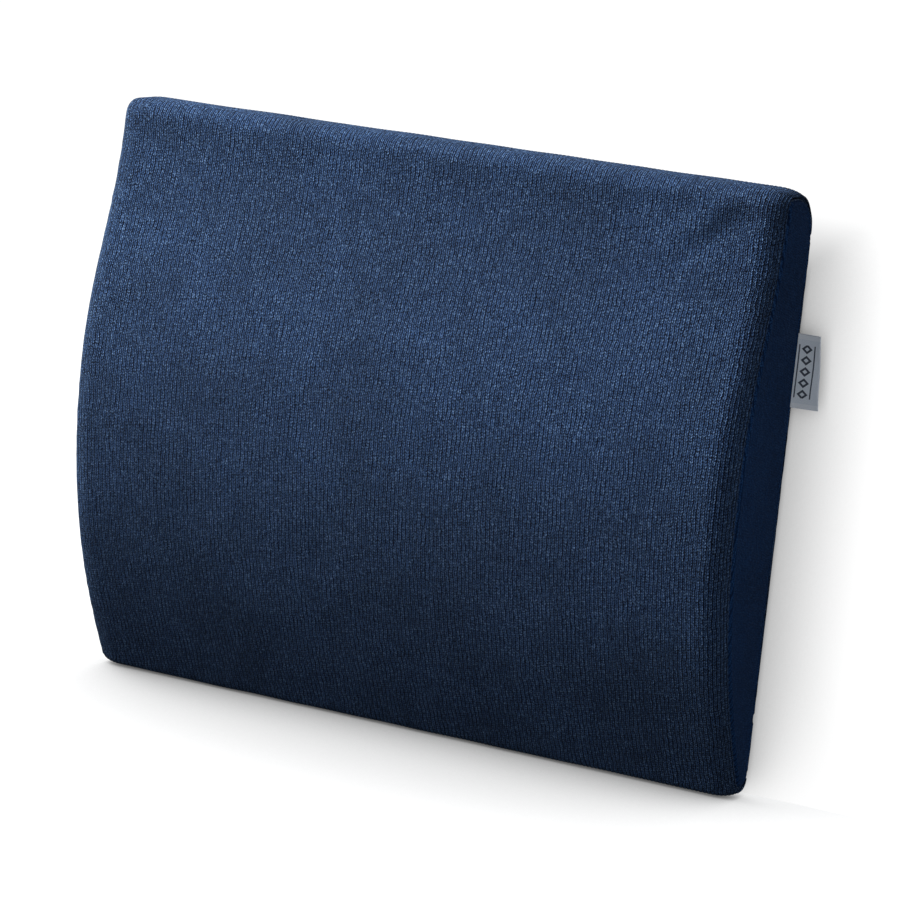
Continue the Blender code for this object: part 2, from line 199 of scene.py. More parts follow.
outlineCount = sectionOutline([0], [0]).shape[1]
outlineSteps = np.linalg.norm(np.diff(sectionOutline([0], [0])[0], axis=0), axis=1)
outlineReach = np.concatenate([[0], np.cumsum(outlineSteps)])
clothLength = outlineReach[-1]  # from seam to seam over the front
rollReach = math.pi / 2 * cushion["rollWidth"]

# Cloth simulation of the stuffed cover
stuffing = {
    "rows": 46, "flatColumns": 34, "rollColumns": 4, "sideColumns": 12,
    "pressure": 2.2, "slack": 0.0, "frames": 20, "evening": 3,
    "frontCap": 0.0011, "backCap": 0.0008, "sideCap": 0.0034,
    "frontPin": 0.30, "backPin": 0.40, "sidePin": 0.03,
}


def coarseStations():  # (x, turn) of each coarse column from left to right
    angle = np.linspace(0, np.pi / 2, stuffing["rollColumns"] + 1)
    x, turn = rollStation(angle)
    flat = np.linspace(-x[0], x[0], stuffing["flatColumns"] + 1)[1:-1]
    return np.concatenate([-x[::-1], flat, x]), np.concatenate([turn[::-1], 0 * flat, turn])


def coarseGrids():
    # front and back as grids of rows by columns, and the right side as straight lines from the front's end
    # column to the back's, so all three share their border points
    x, turn = coarseStations()
    rows = stuffing["rows"]
    sections = sampleAt(sectionOutline(turn, 0 * turn), np.linspace(0, outlineCount - 1, rows))
    front = carriedAcross(x, sections)
    ends = np.linspace(0, 1, rows)[:, None]
    z = front[:1, :, 2] * (1 - ends) + front[-1:, :, 2] * ends
    y = np.broadcast_to(-cushion["edgeRadius"] * turn, z.shape)
    back = np.stack([np.broadcast_to(x, z.shape), y, z], -1)
    share = np.linspace(0, 1, stuffing["sideColumns"])[None, :, None]
    side = front[:, -1:, :] * (1 - share) + back[:, -1:, :] * share
    return front, back, side


def simulateCover():
    # closed coarse cover swollen by pressure, tied at the seams; returns how far each grid moved
    front, back, side = coarseGrids()
    leftSide = side[:, ::-1] * np.array([-1, 1, 1])
    grids = [front, back[::-1], side, leftSide]
    points = np.concatenate([g.reshape(-1, 3) for g in grids])
    starts = np.cumsum([0] + [g.shape[0] * g.shape[1] for g in grids])
    quads = np.concatenate([gridQuads(*g.shape[:2]) + s for g, s in zip(grids, starts)])
    pins = np.concatenate([
        np.full(front[..., 0].size, stuffing["frontPin"]), np.full(back[..., 0].size, stuffing["backPin"]),
        np.full(side[..., 0].size, stuffing["sidePin"]), np.full(side[..., 0].size, stuffing["sidePin"])])
    isSide = np.arange(len(points)) >= starts[2]
    _, first, back2 = np.unique(np.round(points, 6), axis=0, return_index=True, return_inverse=True)
    back2 = back2.reshape(-1)
    quads = back2[quads]
    openA, openB = quads[:, 0] == quads[:, 3], quads[:, 1] == quads[:, 2]
    good = ~openA & ~openB
    faces = [quads[good], quads[openA][:, :3], quads[openB][:, [0, 1, 3]]]
    touching = np.zeros((len(first), 2), bool)  # a point of both a side and a face is on a seam
    touching[back2[isSide], 0] = True
    touching[back2[~isSide], 1] = True
    weight = pins[first]
    weight[touching.all(1)] = 1
    blank = bpy.data.materials.new("simulation")
    cover = makeMesh("coverSimulation", points[first], faces, [blank])
    group = cover.vertex_groups.new(name="tied")
    for value in np.unique(weight):
        group.add(np.flatnonzero(weight == value).tolist(), float(value), "REPLACE")
    cloth = cover.modifiers.new("cloth", "CLOTH")
    settings = cloth.settings
    settings.quality = 8
    settings.mass = 0.25
    settings.tension_stiffness = settings.compression_stiffness = 22
    settings.shear_stiffness = 12
    settings.bending_stiffness = 0.35
    settings.use_pressure = True
    settings.uniform_pressure_force = stuffing["pressure"]
    settings.shrink_min = stuffing["slack"]
    settings.vertex_group_mass = "tied"
    settings.pin_stiffness = 1.0
    settings.effector_weights.gravity = 0
    cloth.collision_settings.use_collision = False
    scene = bpy.context.scene
    for number in range(1, stuffing["frames"] + 1):
        scene.frame_set(number)
    moved = cover.evaluated_get(bpy.context.evaluated_depsgraph_get()).to_mesh()
    after = np.empty(len(moved.vertices) * 3, np.float32)
    moved.vertices.foreach_get("co", after)
    step = (after.reshape(-1, 3) - points[first])[back2]
    scene.frame_set(1)
    bpy.data.objects.remove(cover, do_unlink=True)
    frontStep, backStep, sideStep, _ = (
        step[a:b].reshape(g.shape) for g, a, b in zip(grids, starts, starts[1:]))
    fields = {}
    for name, grid, motion, sign in (
            ("front", front, frontStep, 1), ("back", back, backStep[::-1], -1), ("side", side, sideStep, 1)):
        out = (motion * gridNormals(grid)).sum(-1) * sign
        for _ in range(stuffing["evening"]):  # each point moves halfway to its neighbours' mean
            padded = np.pad(out, 1, mode="edge")
            near = padded[2:, 1:-1] + padded[:-2, 1:-1] + padded[1:-1, 2:] + padded[1:-1, :-2]
            out = 0.5 * out + 0.125 * near
        cap = stuffing[name + "Cap"]
        print(f"  {name}: cloth moved {out.min() * 1000:.2f} to {out.max() * 1000:.2f} mm")
        fields[name] = cap * np.tanh(out / cap)
    return fields


fields = simulateCover()
print("stuffed cover ready")


def columnPlace(x, turn):  # fractional coarse column of each fine column
    coarseX, coarseTurn = coarseStations()
    reach = coarseX + np.sign(coarseX) * coarseTurn * cushion["rollWidth"]
    return np.interp(x + np.sign(x) * turn * cushion["rollWidth"], reach, np.arange(len(reach)))


# Shader building blocks
def newGroup(name, inputs, outputs):  # a node group with named sockets: (name, type, value)
    tree = bpy.data.node_groups.new(name, "ShaderNodeTree")
    for label, kind, value in inputs:
        socket = tree.interface.new_socket(label, in_out="INPUT", socket_type=kind)
        if value is not None:
            socket.default_value = value
    for label, kind in outputs:
        tree.interface.new_socket(label, in_out="OUTPUT", socket_type=kind)
    return tree, tree.nodes.new("NodeGroupInput"), tree.nodes.new("NodeGroupOutput")


class Wiring:
    # short forms for the nodes of one tree
    def __init__(self, tree):
        self.tree = tree

    def add(self, kind, **settings):
        node = self.tree.nodes.new(kind)
        for key, value in settings.items():
            setattr(node, key, value)
        return node

    def link(self, source, target):
        if isinstance(source, (int, float, tuple, list)):
            target.default_value = source
        else:
            self.tree.links.new(source, target)

    def math(self, operation, first, second=None, third=None, clamp=False):
        node = self.add("ShaderNodeMath", operation=operation, use_clamp=clamp)
        for socket, value in zip(node.inputs, (first, second, third)):
            if value is not None:
                self.link(value, socket)
        return node.outputs[0]

    def mix(self, factor, first, second, blend="MIX"):
        node = self.add("ShaderNodeMix", data_type="RGBA", blend_type=blend)
        self.link(factor, node.inputs[0])
        self.link(first, node.inputs[6])
        self.link(second, node.inputs[7])
        return node.outputs[2]

    def spread(self, value, low, high, outLow=0.0, outHigh=1.0):
        node = self.add("ShaderNodeMapRange", interpolation_type="SMOOTHSTEP")
        for socket, number in zip(node.inputs, (value, low, high, outLow, outHigh)):
            self.link(number, socket)
        return node.outputs[0]

    def noise(self, vector, scale, detail=2.0, roughness=0.5):
        node = self.add("ShaderNodeTexNoise", noise_dimensions="3D")
        self.link(vector, node.inputs["Vector"])
        node.inputs["Scale"].default_value = scale
        node.inputs["Detail"].default_value = detail
        node.inputs["Roughness"].default_value = roughness
        return node.outputs["Fac"]

    def group(self, tree, **values):
        node = self.add("ShaderNodeGroup", node_tree=tree)
        for key, value in values.items():
            self.link(value, node.inputs[key.replace("_", " ")])
        return node.outputs


colorAndHeight = [("Color", "NodeSocketColor"), ("Height", "NodeSocketFloat")]


def buildKnitGroup():
    # rib knit: wales as rounded columns of two legs, courses as stitches that lean into a V in each, fibres
    # as noise, painted shade as dark gaps between, pale flecks with a painted highlight on the raised tops,
    # and a slow shift of colour over the cloth
    inputs = [
        ("Along Wales", "NodeSocketFloat", 0.0), ("Across Wales", "NodeSocketFloat", 0.0),
        ("Position", "NodeSocketVector", None), ("Wale", "NodeSocketFloat", 0.002),
        ("Course", "NodeSocketFloat", 0.0011), ("Yarn", "NodeSocketColor", (0.03, 0.05, 0.10, 1)),
        ("Gap", "NodeSocketColor", (0.004, 0.008, 0.02, 1)),
        ("Fleck", "NodeSocketColor", (0.12, 0.2, 0.32, 1)),
        ("Gap Strength", "NodeSocketFloat", 0.8), ("Fleck Strength", "NodeSocketFloat", 0.5)]
    tree, given, result = newGroup("ribKnit", inputs, colorAndHeight)
    w = Wiring(tree)
    get = given.outputs
    wander = w.noise(get["Position"], 260, 2)
    slow = w.noise(get["Position"], 60, 1)
    across = w.math("ADD", get["Across Wales"], w.math("MULTIPLY", w.math("SUBTRACT", wander, 0.5), 0.0011))
    phase = w.math("DIVIDE", across, get["Wale"])
    inWale = w.math("SUBTRACT", w.math("FRACT", phase), 0.5)
    side = w.math("ABSOLUTE", inWale)
    wale = w.math("COSINE", w.math("MULTIPLY", inWale, math.pi))
    wale = w.math("POWER", w.math("MAXIMUM", wale, 0.0), 0.7)
    legs = w.math("ABSOLUTE", w.math("SINE", w.math("MULTIPLY", inWale, 2 * math.pi)))
    wale = w.math("MULTIPLY", wale, w.math("MULTIPLY_ADD", legs, 0.75, 0.25))
    along = w.math("ADD", get["Along Wales"], w.math("MULTIPLY", w.math("SUBTRACT", slow, 0.5), 0.004))
    stagger = w.math("MULTIPLY", w.math("FLOOR", phase), 0.37)
    row = w.math("ADD", w.math("DIVIDE", along, get["Course"]), w.math("MULTIPLY_ADD", side, 1.5, stagger))
    stitch = w.math("SINE", w.math("MULTIPLY", row, 2 * math.pi))
    stitch = w.math("MULTIPLY_ADD", stitch, 0.5, 0.5)
    fibre = w.noise(get["Position"], 2200, 3, 0.65)
    grain = w.noise(get["Position"], 1150, 1, 0.6)
    height = w.math("MULTIPLY", wale, w.math("MULTIPLY_ADD", stitch, 0.60, 0.55))
    height = w.math("MULTIPLY_ADD", w.math("SUBTRACT", grain, 0.5), 1.1, height)
    height = w.math("MULTIPLY_ADD", w.math("SUBTRACT", fibre, 0.5), 0.5, height)
    # painted shade: the yarn colour turns to the gap colour where the height is low
    shade = w.spread(height, 0.15, 0.70)
    shade = w.math("SUBTRACT", 1.0, w.math("MULTIPLY", w.math("SUBTRACT", 1.0, shade), get["Gap Strength"]))
    color = w.mix(shade, get["Gap"], get["Yarn"])
    # pale fibre flecks, kept to the raised tops as a painted highlight
    fleckAndHighlight = w.math("MULTIPLY", w.spread(grain, 0.48, 0.68), w.spread(height, 0.55, 1.05))
    color = w.mix(w.math("MULTIPLY", fleckAndHighlight, get["Fleck Strength"], clamp=True), color, get["Fleck"])
    patch = w.noise(get["Position"], 17, 3, 0.6)
    color = w.mix(1.0, color, w.spread(patch, 0.3, 0.7, 0.86, 1.14), "MULTIPLY")
    w.link(color, result.inputs["Color"])
    w.link(height, result.inputs["Height"])
    return tree


def buildWeaveGroup():
    # plain weave: two sets of threads that take turns on top, as a chequer of rounded floats, with painted
    # shade in the gap colour where the threads lie low
    inputs = [
        ("Across", "NodeSocketFloat", 0.0), ("Along", "NodeSocketFloat", 0.0),
        ("Position", "NodeSocketVector", None),
        ("Thread", "NodeSocketFloat", 0.0004), ("Warp", "NodeSocketColor", (0.1, 0.1, 0.1, 1)),
        ("Weft", "NodeSocketColor", (0.1, 0.1, 0.1, 1)), ("Gap", "NodeSocketColor", (0, 0, 0, 1))]
    tree, given, result = newGroup("plainWeave", inputs, colorAndHeight)
    w = Wiring(tree)
    get = given.outputs
    a = w.math("DIVIDE", get["Across"], get["Thread"])
    b = w.math("DIVIDE", get["Along"], get["Thread"])
    over = w.math("PINGPONG", w.math("ADD", w.math("FLOOR", a), w.math("FLOOR", b)), 1.0)
    roundA = w.math("SINE", w.math("MULTIPLY", w.math("FRACT", a), math.pi))
    roundB = w.math("SINE", w.math("MULTIPLY", w.math("FRACT", b), math.pi))
    warpHeight = w.math("MULTIPLY", roundA, w.math("MULTIPLY_ADD", over, 0.5, 0.5))
    weftHeight = w.math("MULTIPLY", roundB, w.math("MULTIPLY_ADD", over, -0.5, 1.0))
    height = w.math("MAXIMUM", warpHeight, weftHeight)
    fibre = w.noise(get["Position"], 2600, 2, 0.6)
    height = w.math("MULTIPLY_ADD", w.math("SUBTRACT", fibre, 0.5), 0.35, height)
    color = w.mix(w.math("GREATER_THAN", warpHeight, weftHeight), get["Weft"], get["Warp"])
    # painted shade: the gap colour where the threads lie low
    color = w.mix(w.spread(height, 0.25, 0.75), get["Gap"], color)
    w.link(color, result.inputs["Color"])
    w.link(height, result.inputs["Height"])
    return tree


def buildWearGroup():
    # wear: 1 where an edge stands out and along fine scratches, broken up by noise
    inputs = [("Position", "NodeSocketVector", None), ("Edge", "NodeSocketFloat", 0.53),
              ("Scratches", "NodeSocketFloat", 0.3)]
    outputs = [("Wear", "NodeSocketFloat"), ("Grain", "NodeSocketFloat")]
    tree, given, result = newGroup("edgeWear", inputs, outputs)
    w = Wiring(tree)
    get = given.outputs
    pointed = w.add("ShaderNodeNewGeometry").outputs["Pointiness"]
    rough = w.noise(get["Position"], 900, 4, 0.7)
    ragged = w.math("MULTIPLY_ADD", w.math("SUBTRACT", rough, 0.5), 0.12, pointed)
    edge = w.spread(ragged, get["Edge"], w.math("ADD", get["Edge"], 0.05))
    stretch = w.add("ShaderNodeMapping")
    w.link(get["Position"], stretch.inputs["Vector"])
    stretch.inputs["Scale"].default_value = (300, 4000, 4000)
    lines = w.noise(stretch.outputs[0], 1.0, 1, 0.4)
    scratch = w.math("MULTIPLY", w.spread(lines, 0.66, 0.72), get["Scratches"])
    w.link(w.math("MAXIMUM", edge, scratch), result.inputs["Wear"])
    w.link(rough, result.inputs["Grain"])
    return tree


ribKnit, plainWeave, edgeWear = buildKnitGroup(), buildWeaveGroup(), buildWearGroup()


def newMaterial(name):
    material = bpy.data.materials.new(name)
    material.use_nodes = True
    w = Wiring(material.node_tree)
    shader = material.node_tree.nodes["Principled BSDF"]
    return material, w, shader


def bump(w, shader, height, distance, strength=1.0):
    node = w.add("ShaderNodeBump")
    node.inputs["Distance"].default_value = distance
    node.inputs["Strength"].default_value = strength
    w.link(height, node.inputs["Height"])
    w.link(node.outputs[0], shader.inputs["Normal"])


def clothMap(w, name="cloth"):  # (across, along) in metres from the piece's own map, and its position
    uv = w.add("ShaderNodeUVMap", uv_map=name)
    apart = w.add("ShaderNodeSeparateXYZ")
    w.link(uv.outputs[0], apart.inputs[0])
    return apart.outputs[0], apart.outputs[1], w.add("ShaderNodeTexCoord").outputs["Object"]


# gap colours are painted shade between the stitches; fleck colours are pale flecks, partly a painted
# highlight on the raised yarn
knitLook = {
    "cover": {
        "wale": 0.0018, "course": 0.00115, "bump": 0.0008, "sheen": 0.07,
        "yarn": (0.027, 0.062, 0.146, 1), "gap": (0.0004, 0.0014, 0.0066, 1), "gapShadeStrength": 1.0,
        "fleckAndHighlight": (0.15, 0.245, 0.39, 1), "fleckAndHighlightStrength": 0.8},
    "side": {
        "wale": 0.0015, "course": 0.0010, "bump": 0.0003, "sheen": 0.02,
        "yarn": (0.008, 0.036, 0.112, 1), "gap": (0.001, 0.005, 0.020, 1), "gapShadeStrength": 0.8,
        "fleckAndHighlight": (0.03, 0.09, 0.20, 1), "fleckAndHighlightStrength": 0.5},
}


def knitMaterial(name, look):
    material, w, shader = newMaterial(name)
    across, along, position = clothMap(w)
    made = w.group(
        ribKnit, Along_Wales=along, Across_Wales=across, Position=position,
        Wale=look["wale"], Course=look["course"], Yarn=look["yarn"], Gap=look["gap"],
        Fleck=look["fleckAndHighlight"], Gap_Strength=look["gapShadeStrength"], Fleck_Strength=look["fleckAndHighlightStrength"])
    w.link(made["Color"], shader.inputs["Base Color"])
    w.link(w.spread(made["Height"], 0.1, 0.9, 0.95, 0.72), shader.inputs["Roughness"])
    shader.inputs["Specular IOR Level"].default_value = 0.10
    shader.inputs["Sheen Weight"].default_value = look["sheen"]
    shader.inputs["Sheen Roughness"].default_value = 0.45
    shader.inputs["Sheen Tint"].default_value = (0.45, 0.66, 1.0, 1)
    bump(w, shader, made["Height"], look["bump"])
    return material


coverKnit = knitMaterial("navy rib knit", knitLook["cover"])
sideKnit = knitMaterial("navy side knit", knitLook["side"])


def threadMaterial():
    # twisted cotton: slanting plies across the stitch, with painted shade darker between them
    material, w, shader = newMaterial("navy thread")
    across, along, position = clothMap(w)
    lean = w.math("MULTIPLY", across, 2 * math.pi * 2)
    twist = w.math("SINE", w.math("MULTIPLY_ADD", along, 2 * math.pi / 0.0005, lean))
    ply = w.math("MULTIPLY_ADD", twist, 0.5, 0.5)
    fibre = w.noise(position, 3000, 2)
    height = w.math("MULTIPLY_ADD", fibre, 0.4, ply)
    # painted shade: darker where the plies lie low
    color = w.mix(w.spread(height, 0.1, 0.9), (0.004, 0.009, 0.024, 1), (0.020, 0.042, 0.095, 1))
    w.link(color, shader.inputs["Base Color"])
    w.link(w.spread(fibre, 0.3, 0.7, 0.5, 0.75), shader.inputs["Roughness"])
    shader.inputs["Sheen Weight"].default_value = 0.2
    shader.inputs["Sheen Tint"].default_value = (0.5, 0.7, 1.0, 1)
    bump(w, shader, height, 0.00006)
    return material


def tapeMaterial():
    material, w, shader = newMaterial("navy zip tape")
    across, along, position = clothMap(w)
    # the gap colour is painted shade between the threads
    made = w.group(plainWeave, Across=across, Along=along, Position=position, Thread=0.00045,
                   Warp=(0.012, 0.026, 0.062, 1), Weft=(0.009, 0.019, 0.048, 1), Gap=(0.002, 0.004, 0.011, 1))
    w.link(made["Color"], shader.inputs["Base Color"])
    w.link(w.spread(made["Height"], 0.2, 1.0, 0.9, 0.65), shader.inputs["Roughness"])
    bump(w, shader, made["Height"], 0.00008)
    return material


def ribbonMaterial():
    # satin ribbon: pale weave with folded brighter hems at both ends, and a woven border and row of lozenges
    material, w, shader = newMaterial("white satin ribbon")
    across, along, position = clothMap(w)  # across runs out from the seam, along runs up the label
    # the gap colour is painted shade between the threads
    made = w.group(plainWeave, Across=across, Along=along, Position=position, Thread=0.00026,
                   Warp=(0.86, 0.90, 0.95, 1), Weft=(0.78, 0.83, 0.89, 1), Gap=(0.56, 0.62, 0.70, 1))
    fromEnd = w.math("SUBTRACT", labelLook["height"] / 2, w.math("ABSOLUTE", along))
    hem = w.math("LESS_THAN", fromEnd, labelLook["hem"])
    color = w.mix(w.math("MULTIPLY", hem, 0.55), made["Color"], (0.93, 0.95, 0.98, 1))
    middle = w.math("SUBTRACT", across, labelLook["motifAcross"])
    step = w.math("DIVIDE", along, labelLook["motifPitch"])
    cell = w.math("SUBTRACT", w.math("FRACT", w.math("ADD", step, 0.5)), 0.5)
    reach = w.math("ADD", w.math("DIVIDE", w.math("ABSOLUTE", middle), labelLook["motifHalf"]),
                   w.math("MULTIPLY", w.math("ABSOLUTE", cell), 2.3))
    lozenge = w.math("SUBTRACT", w.math("LESS_THAN", reach, 1.0), w.math("LESS_THAN", reach, 0.45))
    fromLine = w.math("ABSOLUTE", w.math("SUBTRACT", w.math("ABSOLUTE", middle), labelLook["lineAcross"]))
    lines = w.math("LESS_THAN", fromLine, labelLook["lineHalf"])
    inside = w.math("GREATER_THAN", fromEnd, labelLook["hem"] + 0.0022)
    motif = w.math("MULTIPLY", w.math("MAXIMUM", lozenge, lines), inside, clamp=True)
    inked = w.math("MULTIPLY", motif, w.spread(made["Height"], 0.1, 0.7, 0.75, 0.97))
    color = w.mix(inked, color, (0.010, 0.020, 0.045, 1))
    w.link(color, shader.inputs["Base Color"])
    w.link(w.spread(made["Height"], 0.2, 1.0, 0.6, 0.38), shader.inputs["Roughness"])
    shader.inputs["Specular IOR Level"].default_value = 0.4
    shader.inputs["Sheen Weight"].default_value = 0.15
    height = w.math("MULTIPLY_ADD", hem, 0.8, made["Height"])
    bump(w, shader, height, 0.00005)
    return material


def foamMaterial():
    # pale foam: small open cells of two sizes with painted shade in their hollows, yellowed in patches
    material, w, shader = newMaterial("pale foam")
    position = w.add("ShaderNodeTexCoord").outputs["Object"]
    cells = w.add("ShaderNodeTexVoronoi", feature="F1")
    w.link(position, cells.inputs["Vector"])
    cells.inputs["Scale"].default_value = 900
    holes = w.spread(cells.outputs["Distance"], 0.15, 0.5)
    patch = w.noise(position, 25, 3)
    color = w.mix(w.spread(patch, 0.35, 0.7), (0.72, 0.66, 0.48, 1), (0.80, 0.74, 0.58, 1))
    # painted shade: darker in the hollows of the cells
    w.link(w.mix(holes, (0.42, 0.36, 0.24, 1), color), shader.inputs["Base Color"])
    w.link(w.spread(holes, 0.0, 1.0, 0.8, 0.95), shader.inputs["Roughness"])
    bump(w, shader, holes, 0.0003)
    return material


def coilMaterial():
    material, w, shader = newMaterial("navy nylon coil")
    position = w.add("ShaderNodeTexCoord").outputs["Object"]
    streak = w.noise(position, 1400, 3)
    w.link(w.mix(streak, (0.010, 0.020, 0.048, 1), (0.022, 0.038, 0.080, 1)), shader.inputs["Base Color"])
    w.link(w.spread(streak, 0.3, 0.7, 0.28, 0.45), shader.inputs["Roughness"])
    bump(w, shader, streak, 0.00002)
    return material


def enamelMaterial():
    # dark enamel over zinc: bright metal where the edges have worn, orange-peel grain in the enamel
    material, w, shader = newMaterial("dark enamelled metal")
    position = w.add("ShaderNodeTexCoord").outputs["Object"]
    made = w.group(edgeWear, Position=position, Edge=0.56, Scratches=0.5)
    w.link(w.mix(made["Wear"], (0.008, 0.014, 0.030, 1), (0.46, 0.45, 0.43, 1)), shader.inputs["Base Color"])
    w.link(made["Wear"], shader.inputs["Metallic"])
    w.link(w.spread(made["Grain"], 0.3, 0.7, 0.26, 0.42), shader.inputs["Roughness"])
    shader.inputs["Coat Weight"].default_value = 0.3
    bump(w, shader, made["Grain"], 0.00002)
    return material


labelLook = {
    "height": 0.0302, "hem": 0.0021, "topReach": 0.0102, "bottomReach": 0.0122,
    "middleZ": 0.0515, "y": -0.0040, "flat": (0.0302, 0.0245),
    "curl": 0.0011, "ripple": 0.00035, "lift": 0.0009,
    "thickness": 0.00022, "gap": 0.00012, "motifAcross": 0.0056, "motifPitch": 0.0046, "motifHalf": 0.0024,
    "lineAcross": 0.0034, "lineHalf": 0.00028,
}
threadLook, tapeLook, ribbonLook = threadMaterial(), tapeMaterial(), ribbonMaterial()
foamLook, coilLook, enamelLook = foamMaterial(), coilMaterial(), enamelMaterial()
print("materials ready")

# Cover panels
panel = {
    "waleRelief": 0.00042, "samplesPerWale": 4, "tuckDepth": 0.0014, "tuckWidth": 0.00085,
    "ridge": 0.00040, "ridgeAt": 0.0021, "ridgeWidth": 0.0010,
    "pucker": 0.00014, "puckerReach": 0.007, "puckerLength": 0.0105, "unevenness": 0.00012,
    "sideUnevenness": 0.00022,
}


def seamProfile(distance):
    # height against distance from a seam: a bell-shaped dip into the seam and a low ridge beside it
    dip = -panel["tuckDepth"] * np.exp(-((distance / panel["tuckWidth"]) ** 2))
    return dip + panel["ridge"] * np.exp(-(((distance - panel["ridgeAt"]) / panel["ridgeWidth"]) ** 2))


def puckers(distance, along, seed):
    # gathers square to a seam: uneven waves along it that fade with distance from it
    draw = np.random.default_rng(seed)
    phase = draw.uniform(0, 2 * np.pi, 4)
    base = 2 * np.pi * along / panel["puckerLength"]
    wave = (np.sin(base + phase[0] + 1.2 * np.sin(base * 0.31 + phase[1]))
            + 0.6 * np.sin(base * 1.73 + phase[2]) * np.sin(base * 0.17 + phase[3]))
    strength = 0.55 + 0.45 * np.sin(base * 0.11 + phase[1])
    fade = np.exp(-distance / panel["puckerReach"])
    return panel["pucker"] * wave * strength * fade * smoothStep(0, 0.002, distance)


def waleHeight(across, fade):  # rounded columns one wale apart, in relief
    column = np.abs(np.cos(np.pi * across / knitLook["cover"]["wale"])) ** 0.8
    return panel["waleRelief"] * fade * (column - 0.6)


def closedPanel(name, outer, normals, thickness, maps, material, rowStep, columnStep):
    # outer grid and a coarser inner wall behind it, joined by a border of many-cornered faces
    rows, columns = outer.shape[:2]
    r, c = np.arange(0, rows, rowStep), np.arange(0, columns, columnStep)
    r, c = np.unique(np.append(r, rows - 1)), np.unique(np.append(c, columns - 1))
    inner = (outer - normals * thickness)[np.ix_(r, c)]
    points = np.concatenate([outer.reshape(-1, 3), inner.reshape(-1, 3)])
    number = np.arange(rows * columns).reshape(rows, columns)
    under = np.arange(len(r) * len(c)).reshape(len(r), len(c)) + rows * columns
    inside = gridQuads(len(r), len(c)) + rows * columns
    faces = [gridQuads(rows, columns), inside[:, ::-1]]
    borders = ((number[0], under[0], c, True), (number[-1], under[-1], c, False),
               (number[:, 0], under[:, 0], r, False), (number[:, -1], under[:, -1], r, True))
    for edge, below, stops, turned in borders:
        step = np.diff(stops)
        for size in np.unique(step):
            start = np.flatnonzero(step == size)
            run = edge[stops[start][:, None] + np.arange(size + 1)[None, :]]
            face = np.concatenate([run, below[start + 1][:, None], below[start][:, None]], 1)
            faces.append(face if not turned else face[:, ::-1])
    uv = {key: np.concatenate([value.reshape(-1, 2), (value * scale + shift)[np.ix_(r, c)].reshape(-1, 2)])
          for key, value, scale, shift in maps}
    obj = makeMesh(name, points, faces, [material], uv)
    return obj


def panelMaps(across, along):
    # the pattern's map in metres, and the bake's: the outside on the lower 19/20, the inner wall above it
    cloth = np.stack([across, along], -1)
    unit = (cloth - cloth.min((0, 1))) / np.ptp(cloth, axis=(0, 1))
    bake = np.stack([unit[..., 0], unit[..., 1] * 0.95], -1)
    return [("cloth", cloth, 1.0, 0.0), ("OFBake", bake, np.array([1.0, 0.04]), np.array([0.0, 0.955]))]


def fineStations():
    # (x, turn, distance along the cloth from the middle): even samples on the flat and round the roll
    pitch = knitLook["cover"]["wale"] / panel["samplesPerWale"]
    flatEnd = halfWidth - cushion["rollWidth"]
    flat = np.linspace(-flatEnd, flatEnd, int(round(2 * flatEnd / pitch)) + 1)
    angle = np.linspace(0, np.pi / 2, int(round(rollReach / pitch)) + 1)[1:]
    x, turn = rollStation(angle)
    reach = flatEnd + angle * cushion["rollWidth"]
    return (np.concatenate([-x[::-1], flat, x]), np.concatenate([turn[::-1], 0 * flat, turn]),
            np.concatenate([-reach[::-1], flat, reach]))


def makeFrontPanel():
    # the section's outline carried across, falling away in a quarter ellipse at both sides; on it the
    # stuffing's swell, ribs, puckers, pulls towards the upper corners and the dip into each seam
    x, turn, reach = fineStations()
    nearEnd = np.array([0, 0.3, 0.6])
    places = np.concatenate([nearEnd, np.arange(1, outlineCount - 1), outlineCount - 1 - nearEnd[::-1]])
    sections = sampleAt(sectionOutline(turn, 0 * turn), places)
    grid = carriedAcross(x, sections)
    normals = gridNormals(grid)
    s = np.interp(places, np.arange(outlineCount), outlineReach)[:, None] + 0 * reach[None, :]
    a = reach[None, :] + 0 * s
    toSide = reach.max() - np.abs(a)
    toEnd = np.minimum(s, clothLength - s)
    nearest = np.minimum(toSide, toEnd)
    rowPlace = places * (stuffing["rows"] - 1) / (outlineCount - 1)
    swell = splineWeights(rowPlace, stuffing["rows"]) @ fields["front"] @ splineWeights(
        columnPlace(x, turn), fields["front"].shape[1]).T
    flatPoint = np.stack([a, s], -1)
    lump = waves(3, flatPoint, (0.028, 0.055)) * panel["unevenness"] * smoothStep(0, 0.02, nearest)
    gather = puckers(toSide, s + np.sign(a) * 0.013, 11) + 0.6 * puckers(toEnd, a, 12)
    corner = np.zeros_like(a)
    for side, strength in ((1, 1.0), (-1, 0.55)):  # creases that run in from the upper corners
        u, v = side * a - 0.120, s - (outlineReach[sectionSteps["topBack"] + 6] + 0.012)
        line, far = u * 0.62 + v * 0.78, u * 0.78 - v * 0.62
        corner += strength * (0.0009 * np.exp(-((line / 0.0042) ** 2) - (far / 0.020) ** 2)
                              - 0.0008 * np.exp(-(((line - 0.0085) / 0.0045) ** 2) - (far / 0.022) ** 2))
    sway = waves(5, flatPoint, (0.035, 0.012)) * 0.00022
    height = (swell + lump + gather + corner + seamProfile(nearest)
              + waleHeight(a + sway, smoothStep(0.0012, 0.003, nearest)))
    outer = grid + normals * height[..., None]
    obj = closedPanel("coverFront", outer, normals, cushion["panelThickness"], panelMaps(a + sway, s),
                      coverKnit, 4, 16)
    place(obj, "cover_knit", "front_panel")
    return obj


def sideGrid(rows, share):
    # straight lines from the front seam to the back seam of the right side, each row at its own height
    inset = cushion["seamInset"]
    outline = sampleAt(sectionOutline([1.0], [inset]), np.linspace(0, outlineCount - 1, rows))[0]
    down = np.linspace(0, 1, rows)[:, None]
    backLine = outline[0] * (1 - down) + outline[-1] * down
    flat = outline[:, None, :] * (1 - share)[None, :, None] + backLine[:, None, :] * share[None, :, None]
    x = np.full(flat.shape[:2] + (1,), halfWidth)
    return np.concatenate([x, flat], -1), outline, backLine


sidePanel = {"rows": 190, "columns": 96}


